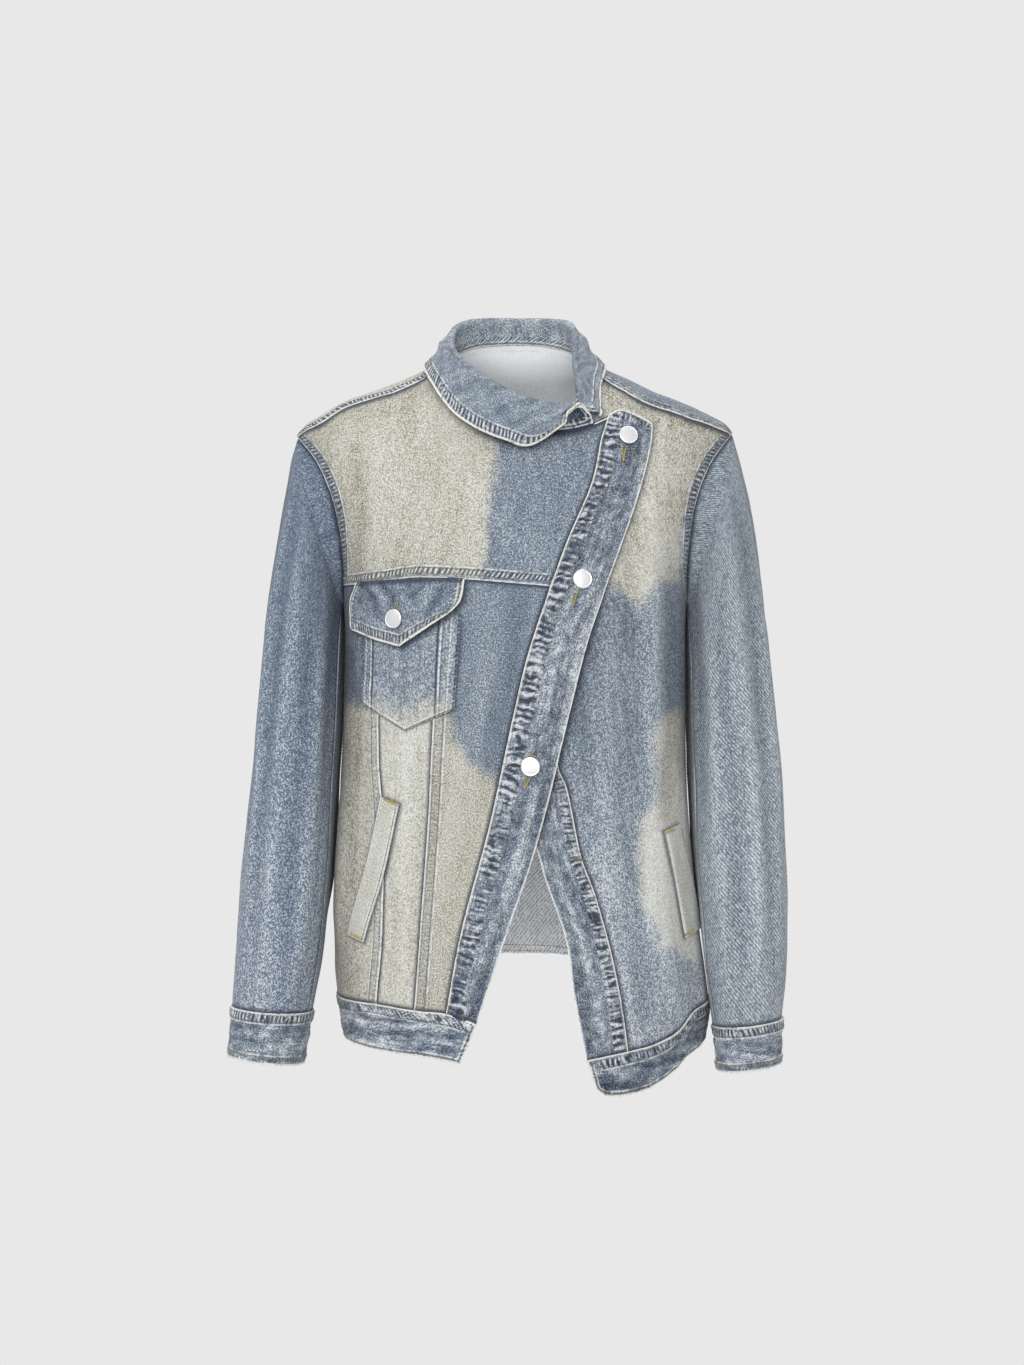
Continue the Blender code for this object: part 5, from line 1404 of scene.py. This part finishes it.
# The welts of the hand pockets.
weltEdge = {"rows": (), "band": 2.0, "lift": 0.2, "pucker": 0.1, "kept": 0.0, "white": 0.0}
weltFold = {**weltEdge, "band": 2.5, "ruck": 0.3, "white": 0.55}
weltMouth = {**weltEdge, "rows": (1.6,), "band": 3.0, "lift": 0.3, "pucker": 0.15, "ruck": 0.6, "white": 0.7}
weltEdges = [edge("l", "free", **weltFold), edge("r", "free", **weltMouth), edge("t", "free", **weltEdge),
             edge("b", "free", **weltEdge)]
weltCloth = {**frontCloth, "slot": "denim_pale", "seed": 17, "cloth": garment["flapCloth"],
             "shade": lambda grid: 0.16, "crumple": (0.25, 8, 14), "ripple": 0.2, "held": "folded",
             "wash": frontWash(paleLowRight, paleLeftSide), "cut": (0.03, 0.14, 0.0031)}
weltRightOutline = {"top": ((-121, -400), (-104, -406)), "right": ((-121, -400), (-133, -455), (-153, -529)),
                    "left": ((-104, -406), (-118, -470), (-138, -534)), "low": ((-153, -529), (-138, -534))}
weltLeftOutline = {"top": ((136.7, -432), (151, -427)), "right": ((136.7, -432), (147, -476), (158, -532)),
                   "left": ((151, -427), (160, -470), (169.5, -525)), "low": ((158, -532), (169.5, -525))}
for name, outline, lift in (
        ("welt_right", weltRightOutline, lambda points: frontLift(points) + garment["weltStep"]),
        ("welt_left", weltLeftOutline, evenly(garment["weltStep"]))):
    makePanel(name, weltCloth, weltEdges, *outlineGrid(outline, 14, 96, lift))


# Sleeves: outer x, outer z, inner x, inner z, front, back, middle.
sleeveTables = {
    "right": np.array([
        (-207.5, -70, -161.5, -226, 56, 62, 3), (-211.5, -86, -162.0, -236, 60, 64, 2),
        (-217.5, -121, -162.3, -248, 63, 65, 0), (-226.0, -173, -162.6, -266, 65, 66, -3),
        (-234.5, -235, -163.2, -292, 65, 66, -7), (-240.5, -300, -164.5, -330, 64, 65, -11),
        (-245.0, -366, -167.0, -378, 61, 62, -16), (-251.5, -430, -169.5, -436, 58, 59, -21),
        (-257.0, -490, -173.5, -494, 54, 55, -27), (-260.5, -545, -179.5, -549, 49, 50, -32),
        (-263.0, -597, -188.6, -602, 44, 45, -36)]),
    "left": np.array([
        (209.5, -68, 162.5, -226, 56, 62, 3), (214.5, -86, 163.4, -236, 60, 64, 2),
        (222.5, -121, 164.2, -248, 63, 65, 0), (231.0, -173, 165.0, -266, 65, 66, -3),
        (238.0, -235, 165.6, -292, 65, 66, -7), (244.5, -300, 166.0, -330, 64, 65, -11),
        (251.0, -366, 166.8, -380, 61, 62, -16), (254.5, -430, 168.8, -440, 58, 59, -21),
        (256.5, -490, 172.5, -502, 54, 55, -27), (255.0, -552, 178.5, -562, 47, 48, -32),
        (250.0, -608, 186.5, -616, 40, 41, -36)]),
}
cuffEnds = {"right": np.array((-267.0, -641, -196.0, -649, 42, 43, -39)),
            "left": np.array((249.0, -648, 189.5, -656, 38, 39, -39))}

# Folds down both sleeves: turn from the inside over the front, start, end, half-width, rise.
sleeveFolds = (
    (0.10, 0.00, 0.70, 0.030, -3.0), (0.155, 0.10, 1.00, 0.028, 2.6), (0.21, 0.30, 1.05, 0.030, -3.2),
    (0.27, -0.05, 0.60, 0.035, 3.0), (0.29, 0.45, 1.05, 0.030, 2.6), (0.34, 0.10, 0.95, 0.026, -3.0),
    (0.395, 0.00, 0.90, 0.022, 3.4), (0.435, 0.05, 0.85, 0.024, -2.6), (0.60, 0.10, 0.95, 0.060, -2.8),
    (0.72, 0.05, 0.90, 0.055, 2.4), (0.82, 0.05, 0.80, 0.040, -1.5),
)
sleevePower = 2.1
sleeveSwell = {"turn": 0.905, "width": 0.045, "rise": 7.0}     # its hidden side, towards the body
armholeSteps = 21


def sectionPoints(rows, turns):
    outerX, outerZ, innerX, innerZ, front, back, middle = (rows[..., k] for k in range(7))
    angle = 2 * math.pi * turns
    along, across = np.cos(angle), np.sin(angle)
    along = np.sign(along) * np.abs(along) ** (2 / sleevePower)
    across = np.sign(across) * np.abs(across) ** (2 / sleevePower)
    reach = np.where(across > 0, front, back)
    return np.stack(((outerX + innerX) / 2 + (innerX - outerX) / 2 * along, middle - reach * across,
                     (outerZ + innerZ) / 2 + (innerZ - outerZ) / 2 * along), axis=-1)


def sleeveFold(turns, along):
    total = np.zeros(np.broadcast(turns, along).shape)
    for place, start, end, width, rise in sleeveFolds:
        sway = 0.016 * lineNoise(along * 9.0, 1.6, int(place * 100))
        gap = (turns - place + sway + 0.5) % 1.0 - 0.5
        share = np.clip((along - start) / (end - start), 0, 1)
        total = total + rise * np.exp(-(gap / width) ** 2) * np.sin(math.pi * share) ** 0.8
    return total


def stepTurns(sign, steps):
    turns = armholeTurns(sign)
    whole = np.floor(steps / armholeSteps)
    return whole + np.interp(steps - whole * armholeSteps, np.arange(armholeSteps + 1), turns)


def ringNormals(grid, middles):
    normals = gridNormals(grid)
    facing = ((grid - middles) * normals).sum(axis=-1, keepdims=True)
    return normals * np.where(facing < 0, -1.0, 1.0)


def awayFrom(line, middle):
    # Along the body, from a middle point to each point of a line, and the body's normals there.
    normal = bodyNormal(line)
    away = line - middle
    return unit(away - normal * (away * normal).sum(axis=-1, keepdims=True)), normal


def sleeveGrid(side, firstStep, lastStep, columns, rows=220):
    sign = -1 if side == "right" else 1
    table = sleeveTables[side]
    data = np.concatenate((np.arange(len(table))[:, None], table), axis=1)
    turns = stepTurns(sign, np.linspace(firstStep, lastStep, columns + 1))
    steps = np.linspace(0, 22, rows + 1)
    along = np.clip((steps - 1) / 21, 0, 1)
    sections = readTable(data, along * (len(table) - 1))
    grid = sectionPoints(sections[:, None, :], turns[None, :])
    middles = np.stack([sectionPoints(sections, np.full(len(along), t))
                        for t in np.linspace(0, 0.95, 20)]).mean(axis=0)[:, None]
    fold = sleeveFold(turns[None, :], along[:, None])
    grid = grid + unit(grid - middles) * fold[..., None]
    swell = np.exp(-(((turns - sleeveSwell["turn"] + 0.5) % 1.0 - 0.5) / sleeveSwell["width"]) ** 2)[None, :]
    swell = swell * smoothStep(-grid[..., 2], 170, 230) * (1 - smoothStep(-grid[..., 2], 480, 545))
    grid[..., 0] -= sign * sleeveSwell["rise"] * swell
    grid = clearOfBody(grid, 1.9 + bodyFold(grid))
    # The head runs from just under the armhole's edge, in a small bulge, to the first section.
    ring = armholePoint(sign, turns % 1.0)
    hole = armholes[sign]
    away, normal = awayFrom(ring, ring * np.array((1, 0, 0)) + np.array((0, hole["middle"], hole["height"])))
    ring = ring + normal * (bodyFold(ring) - 0.7)[:, None] + away * 0.8
    head = steps < 1
    share = steps[head][:, None, None]
    start = grid[np.searchsorted(steps, 1.0)]
    bulge = unit(start - middles[0])
    grid[head] = (1 - share) * ring[None] + share * start[None] + bulge[None] * 1.5 * np.sin(math.pi * share)
    return grid, ringNormals(grid, middles), fold


def sleeveShade(top, low, reach, fold):
    # Darker at the top of the sleeve and lighter lower down; along its folds, painted light on the ridges,
    # partly wear, and painted shade in the troughs.
    return lambda grid: top + (low - top) * smoothStep(-grid[..., 2], 60, reach) + 0.06 * fold[::-1]


def makeRound(name, grid, normals, edges, look):
    # Sleeve grids run down the arm, and a piece's grid runs up.
    pieces[name] = Cloth(name, grid[::-1], normals[::-1], edges, look)
    pieces[name].build()


def makeSleeve(side, cloth, seed, shadeRange):
    sleeveCloth = {"material": cloth, "region": "Sleeve" + side.capitalize()}
    grid, normals, fold = sleeveGrid(side, 1, 15, 112)
    topSleeve = {**sleeveCloth, "seed": seed, "ripple": 0.8, "shade": sleeveShade(*shadeRange, fold),
                 "cut": (0.27, 0.54, 0.104)}
    tuckedEnds = [edge("t", "under", over=0.0), edge("b", "under")]
    makeRound("sleeve_%s_top" % side, grid, normals,
              [edge("r", "lap"), edge("l", "under"), *tuckedEnds], topSleeve)
    grid, normals, fold = sleeveGrid(side, 15, 22, 56)
    underSleeve = {**sleeveCloth, "seed": seed + 1, "ripple": 0.7, "shade": sleeveShade(*shadeRange, fold),
                   "cut": (0.16, 0.47, 0.054)}
    makeRound("sleeve_%s_under" % side, grid, normals,
              [edge("l", "under"), edge("r", "lap", rows=(), band=4.0, white=0.0, pucker=0.0, ruck=0.2),
               *tuckedEnds], underSleeve)


def makeCuff(side, seed):
    sign = -1 if side == "right" else 1
    turns = stepTurns(sign, np.linspace(15, 15 + armholeSteps, 169))
    share = np.linspace(0, 1, 25)[:, None, None]
    rows = sleeveTables[side][-1] + (cuffEnds[side] - sleeveTables[side][-1]) * share
    grid = sectionPoints(rows, turns[None, :])
    middles = grid[:, :-1].mean(axis=1, keepdims=True)
    grid = grid + unit((grid - middles) * np.array((1, 1, 0))) * garment["bandStep"]
    cuff = {**hemBand, "region": "Sleeve" + side.capitalize(), "seed": seed, "ripple": 0.4,
            "crumple": (0.9, 15, 5), "shade": lambda grid: -0.06, "closed": True, "cut": (0.28, 0.05, 0.011)}
    makeRound("cuff_%s" % side, grid, ringNormals(grid, middles),
              [edge("t", "lap", pucker=0.4, rows=(1.9, 8.2), band=9.4, wave=5.5, ruck=1.1),
               edge("b", "free", rows=(6.0,), band=6.8, thread="mustard", pucker=0.14, ruck=0.4)], cuff)


for side, cloth, seed, shadeRange in (("right", "rightSleeveCloth", 20, (-0.21, 0.15, 580)),
                                      ("left", "leftSleeveCloth", 24, (-0.12, 0.14, 430))):
    makeSleeve(side, cloth, seed, shadeRange)
    makeCuff(side, seed + 2)


# The collar, one folded cloth: roll x y z, edge x y z.
collarRows = np.array([
    (60, -86, -39.7, 47, -94, -58), (42, -88, -40, 15, -94, -78), (20, -85, -36, -8, -93, -73),
    (-6, -78, -25, -34, -88, -62), (-30, -66, -10, -57, -76, -45), (-50, -40, 8, -75, -50, -20),
    (-59, -10, 26, -81, -12, -3), (-57, 22, 46, -76, 34, 8), (-38, 44, 56, -50, 62, 10),
    (0, 55, 58, 0, 74, 10), (38, 44, 56, 50, 62, 10), (56, 22, 48, 76, 34, 8), (58, -8, 26, 79, -10, -3),
    (58, -40, 2, 79, -50, -24), (61, -69, -41, 80, -76, -50)], dtype=float)
collarSize = {"columns": 301, "rows": 67, "standRows": 36}
neckMiddle = np.array([0.0, 0.0, 70.0])


def tableSteps(rows, places):
    ends = np.vstack((2 * rows[0] - rows[1], rows, 2 * rows[-1] - rows[-2]))
    k = np.minimum(places.astype(int), len(rows) - 2)
    s = (places - k)[:, None]
    before, here, after, beyond = (ends[k + j] for j in range(4))
    return here + 0.5 * s * (after - before + s * (2 * before - 5 * here + 4 * after - beyond
                                                   + s * (3 * (here - after) + beyond - before)))


def collarSeam():
    # The neck line that the collar is sewn to, and each point's place in the collar's table.
    shares = np.linspace(0, 1, collarSize["columns"])
    rightNeck, leftNeck = turned(seamLine(neckRight, last=7)), seamLine(neckLeft, last=2)
    line = joined((rightNeck, 8), (seamLine(neckBack), 12), (leftNeck, 3))(shares)
    corners = np.array([0, 8, 20, 23]) / 23
    away, normal = awayFrom(line, neckMiddle)
    lift = np.where(shares <= corners[1], frontLift(line), 0.0)
    line = line + normal * (lift - 0.8)[:, None] - away * 1.1
    return line, np.interp(shares, corners, (0, 5, 13, 14))


def collarGrid():
    # Up inside the neck, over the roll and down outside, clear of the shoulders.
    line, places = collarSeam()
    rails = tableSteps(collarRows, places)
    shares = np.linspace(0, 1, collarSize["rows"])
    grid = np.zeros((collarSize["rows"], collarSize["columns"], 3))
    for c, seam in enumerate(line):
        roll, fall = rails[c, :3], rails[c, 3:]
        end = math.exp(-(places[c] / 0.55) ** 2)
        out = unit(np.array([roll[0], roll[1], 0.0]))
        spread = (fall - seam) * np.array((1, 1, 0))
        out = unit(out * (1 - end) + unit(spread) * end)
        half = 2.6 + 6.0 * end
        down = np.array([0, 0, 2.6 + 2.5 * end])
        inside, outside = roll - out * half, roll + out * half
        grid[:, c] = smoothCurve([seam, seam * 0.45 + inside * 0.55, inside - down, roll, outside - down,
                                  fall * 0.5 + outside * 0.5 + out * 1.5, fall])(shares)
    leaf = grid[collarSize["standRows"]:]
    clear = 3.8 - 2.6 * smoothStep(places, 12.4, 13.6) + bodyFold(leaf)
    clear = clear + np.where((leaf[..., 1] < 0) & (places < 8), frontLift(leaf), 0.0)
    grid[collarSize["standRows"]:] = clearOfBody(leaf, clear)
    return grid


collar = {"material": "collarCloth", "region": "Collar", "seed": 30, "ripple": 0.4, "held": "folded",
          "wrong": 0.0, "crumple": (0.35, 12, 8), "cut": (0.56, 0.10, 0.04),
          # Lighter towards the back of the collar, painted light.
          "shade": lambda grid: 0.20 * smoothStep(grid[..., 1], -20, 40) - 0.03,
          "thicken": lambda cloth: 2.6 * np.exp(-(cloth.distances["l"][0] / 5.0) ** 2),
          # Painted shade inside the fastened end.
          "innerShade": lambda cloth: -1.1 * np.exp(-(cloth.distances["l"][0] / 16.0) ** 2)}
grid = collarGrid()
normals = gridNormals(grid)
pieces["collar"] = Cloth("collar", grid + normals * 0.8, normals,
                         [edge("t", "free", pucker=0.45, rows=(2.2, 9.0), band=10.2, wave=5.5, ruck=1.5,
                               roll=1.15),
                          edge("l", "free", pucker=0.1, rows=(2.4,), band=4.0, roll=1.1),
                          edge("r", "free", pucker=0.2, rows=(2.4,), band=6.0, white=0.0),
                          edge("b", "lap", pucker=0.3, rows=(2.0,), band=8.0, ruck=1.0, over=0.0)], collar)
pieces["collar"].build()
line, away = pieces["collar"].insetLine("l", 0.4)
foldLine("Collar", line - away * 3.9, away, 1.0, 0.9)


# Small sewing: buttonholes, dashes, bars, the neck strip and the rows seen inside.
def onPiece(name, line, step=0.8):
    # Points and normals on a piece's outer face behind a line of the front view.
    cloth = pieces[name]
    grid = cloth.outer.reshape(-1, 3)
    normals = gridNormals(cloth.outer).reshape(-1, 3)
    corners = np.array(line, dtype=float)
    stops = lineStops(corners)
    places = np.linspace(0, stops[-1], max(int(stops[-1] / step), 2) + 1)
    found = []
    for x, z in zip(np.interp(places, stops, corners[:, 0]), np.interp(places, stops, corners[:, 1])):
        away = np.hypot(grid[:, 0] - x, grid[:, 2] - z) + np.where(grid[:, 1] > 0, 500, 0)
        near = np.argpartition(away, 4)[:4]
        weights = 1 / (away[near] + 0.05)
        weights = weights / weights.sum()
        normal = unit((normals[near] * weights[:, None]).sum(axis=0))
        point = (grid[near] * weights[:, None]).sum(axis=0)
        shift = np.array((x, point[1], z)) - point
        shift[1] = -(normal[0] * shift[0] + normal[2] * shift[2]) / normal[1]
        found.append((point + shift, normal if normal[1] < 0 else -normal))
    return np.array([p for p, _ in found]), np.array([n for _, n in found])


def cord(name, line, thread="mustard", radius=0.62):
    sewLine("Details", thread, *onPiece(name, line), pitch=1.7, radius=radius, fill=1.15, margin=0.0)


def bar(name, start, end, rows=2, gap=0.8, thread="mustard"):
    ahead = unit(np.subtract(end, start).astype(float))
    beside = np.array((-ahead[1], ahead[0]))
    for k in range(rows):
        shift = beside * gap * (k - (rows - 1) / 2)
        cord(name, (np.add(start, shift), np.add(end, shift)), thread, 0.55)


for name, lines in (
        ("right_placket", (((99.5, -78), (99.8, -86), (100, -93)), ((104, -78), (101.4, -84), (100.4, -93)),
                           ((54, -209), (53, -217), (52, -226.5)), ((60, -208), (56, -217), (53, -226)),
                           ((11, -379), (10.6, -386), (8.5, -391.5)), ((15, -379), (12, -386), (9.5, -391.5)),
                           ((10, -362), (15, -360.5), (20, -362)))),
        ("chest_flap", (((-106, -221.5), (-105.2, -227), (-104, -230)), ((-103, -244.5), (-102.2, -247.5))))):
    for line in lines:
        cord(name, line)
for line in (((110, -80), (108.5, -90), (107, -101)), ((120.5, -82), (118, -92), (116, -99))):
    points, normals = onPiece("right_placket", line)
    sewLine("Details", "mustard", points, normals, pitch=2.6, radius=0.42, fill=0.7, margin=0.2)
bar("welt_right", (-119.5, -401.5), (-105.5, -407), 2)
bar("welt_right", (-151.5, -527), (-138.5, -531.5), 2)
bar("welt_left", (138.5, -433.5), (149, -430), 2)
bar("welt_left", (158.5, -529.5), (168, -524), 2)
bar("left_placket", (54.5, -455.5), (63, -455.5), 3, 0.9, "khaki")
cord("collar", ((38.5, -42), (40.5, -40.5), (42.5, -43)), radius=0.4)

# The neck strip between the fastened end and the placket.
points, normals = onPiece("right_front_yoke", ((73.5, -57.5), (81, -54), (88, -50.5)))
foldLine("Front", points + normals * 0.2, normals, 0.9, 0.8)

# Short worn threads along the raw-looking hems.
fraying = np.random.default_rng(5)


def fray(name, side, count, span=(0.02, 0.98), reach=2.2):
    points, normals = pieces[name].insetLine(side, 0.3, span)
    stops = lineStops(points)
    total = stops[-1]
    places = np.sort(fraying.uniform(0, total, count))
    tails = readLine(points, stops, places)
    up = unit(readLine(normals, stops, places))
    before, after = (readLine(points, stops, np.clip(places + shift, 0, total)) for shift in (-1, 1))
    ahead = unit(after - before)
    down = np.cross(up, ahead) * np.sign(np.cross(up, ahead)[:, 2:3]) * -1
    heads = tails + down * fraying.uniform(0.4, 1.0, (count, 1)) * reach
    heads = heads + ahead * fraying.uniform(-1.0, 1.0, (count, 1))
    threadRuns.setdefault(("Hems", "ecru"), []).append(stitches(tails, heads, up, 0.24))


for name, count in (("waistband_back", 260), ("waistband_right", 70), ("waistband_left", 70),
                    ("cuff_right", 110), ("cuff_left", 110)):
    fray(name, "b", count)

# Rows on the wrong side, where they show.
for side, inset, thread in (("t", 2.2, "mustard"), ("t", 9.6, "ecru"), ("b", 2.2, "mustard"),
                            ("b", 8.0, "khaki")):
    sewLine("Inside", thread, *pieces["waistband_back"].insetLine(side, inset, (0.25, 0.75), inner=True))
for side in "lr":
    sewLine("Inside", "ecru", *pieces["back_centre"].insetLine(side, 3.0, inner=True))
sewLine("Inside", "ecru", *pieces["back_yoke"].insetLine("t", 5.0, (0.28, 0.72), inner=True))


# Buttons: a rolled rim round a dished cap with a raised boss; the profile's shares of the
# radius and of the height run from the foot to the middle of the crown.
buttonSize = {"radius": 8.9, "height": 3.4, "sides": 64}
buttonProfile = ((0.0, 0.0), (0.80, 0.0), (0.93, 0.10), (0.99, 0.34), (1.0, 0.56), (0.985, 0.74),
                 (0.95, 0.86), (0.90, 0.90), (0.875, 0.865), (0.84, 0.865), (0.72, 0.905), (0.56, 0.94),
                 (0.40, 0.965), (0.26, 0.98), (0.13, 0.99), (0.0, 0.995))


def makeButton(name):
    solid = bpy.data.objects[name]
    points = np.array([tuple(v.co) for v in solid.data.vertices]) * 1000
    middle = points.mean(axis=0)
    _, _, axes = np.linalg.svd(points - middle)
    normal = axes[2] * (1.0 if axes[2][1] < 0 else -1.0)
    across = unit(np.cross(np.array([0, 0, 1.0]), normal))
    upward = np.cross(normal, across)
    foot = middle + normal * ((points - middle) @ normal).min()
    sides = buttonSize["sides"]
    turns = np.linspace(0, 2 * math.pi, sides + 1)[:-1, None]
    ring = across * np.cos(turns) + upward * np.sin(turns)
    verts = [foot]
    for share, height in buttonProfile[1:-1]:
        verts.extend(foot + ring * buttonSize["radius"] * share + normal * buttonSize["height"] * height)
    verts.append(foot + normal * buttonSize["height"] * buttonProfile[-1][1])
    faces = []
    last = 1 + (len(buttonProfile) - 3) * sides
    for k in range(sides):
        after = (k + 1) % sides
        faces.append((0, 1 + after, 1 + k))
        for r in range(1, last, sides):
            faces.append((r + k, r + after, r + after + sides, r + k + sides))
        faces.append((last + k, last + after, last + sides))
    thing = makeMesh(name + "_cap", np.array(verts) * mm, faces, 40)
    thing.data.materials.append(materials["steel"])
    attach(thing, "root")
    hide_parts(name)


for name in ("button_neck", "button_chest", "button_waist", "button_flap"):
    makeButton(name)
buildThreads()
buildFolds()

# Floor, light and camera.
scene = bpy.context.scene
floorMesh = bpy.data.meshes.new("studioFloor")
floorSize = {"radius": 1.65, "height": -1.40, "sides": 96}     # metres
turns = [2 * math.pi * k / floorSize["sides"] for k in range(floorSize["sides"])]
rim = [(floorSize["radius"] * math.cos(turn), floorSize["radius"] * math.sin(turn), floorSize["height"])
       for turn in turns]
floorMesh.from_pydata(rim, [], [tuple(range(len(rim)))])
floor = bpy.data.objects.new("studioFloor", floorMesh)
scene.collection.objects.link(floor)
tree, shader = newMaterial("floorPaint")
tree.put(shader.inputs["Base Color"], tone(232, 232, 232))
tree.put(shader.inputs["Roughness"], 0.9)
floorMesh.materials.append(materials["floorPaint"])

world = bpy.data.worlds.new("studio")
scene.world = world
world.use_nodes = True
world.node_tree.nodes.clear()
tree = Tree(world.node_tree)
sky = tree.add("ShaderNodeBackground", {"Color": tone(232, 232, 232), "Strength": 1.0})
tree.put(tree.add("ShaderNodeOutputWorld").inputs["Surface"], sky.outputs[0])

for name, place, aim, size, power in (
        ("frontLight", (-0.5, -3.4, 0.7), (0, 0, -0.3), 2.4, 62.0),
        ("keyLight", (-1.6, -1.9, 1.3), (0, 0, -0.3), 1.2, 16.0),
        ("topLight", (0.1, -0.2, 2.0), (0, 0, -0.2), 1.4, 12.0),
        ("backLight", (0.6, 2.4, 0.6), (0, 0, -0.3), 1.6, 10.0)):
    lamp = bpy.data.lights.new(name, "AREA")
    lamp.energy = power
    lamp.size = size
    holder = bpy.data.objects.new(name, lamp)
    holder.location = place
    direction = Vector(aim) - Vector(place)
    holder.rotation_euler = direction.to_track_quat("-Z", "Y").to_euler()
    scene.collection.objects.link(holder)

view = bpy.data.cameras.new("view")
view.sensor_fit = "VERTICAL"
view.sensor_height = 36.0
view.lens = 66.63
viewer = bpy.data.objects.new("view", view)
viewer.location = (-0.0019, -2.4, -0.295)
viewer.rotation_euler = (math.pi / 2, 0, 0)
scene.collection.objects.link(viewer)
scene.camera = viewer
scene.view_settings.view_transform = "Standard"
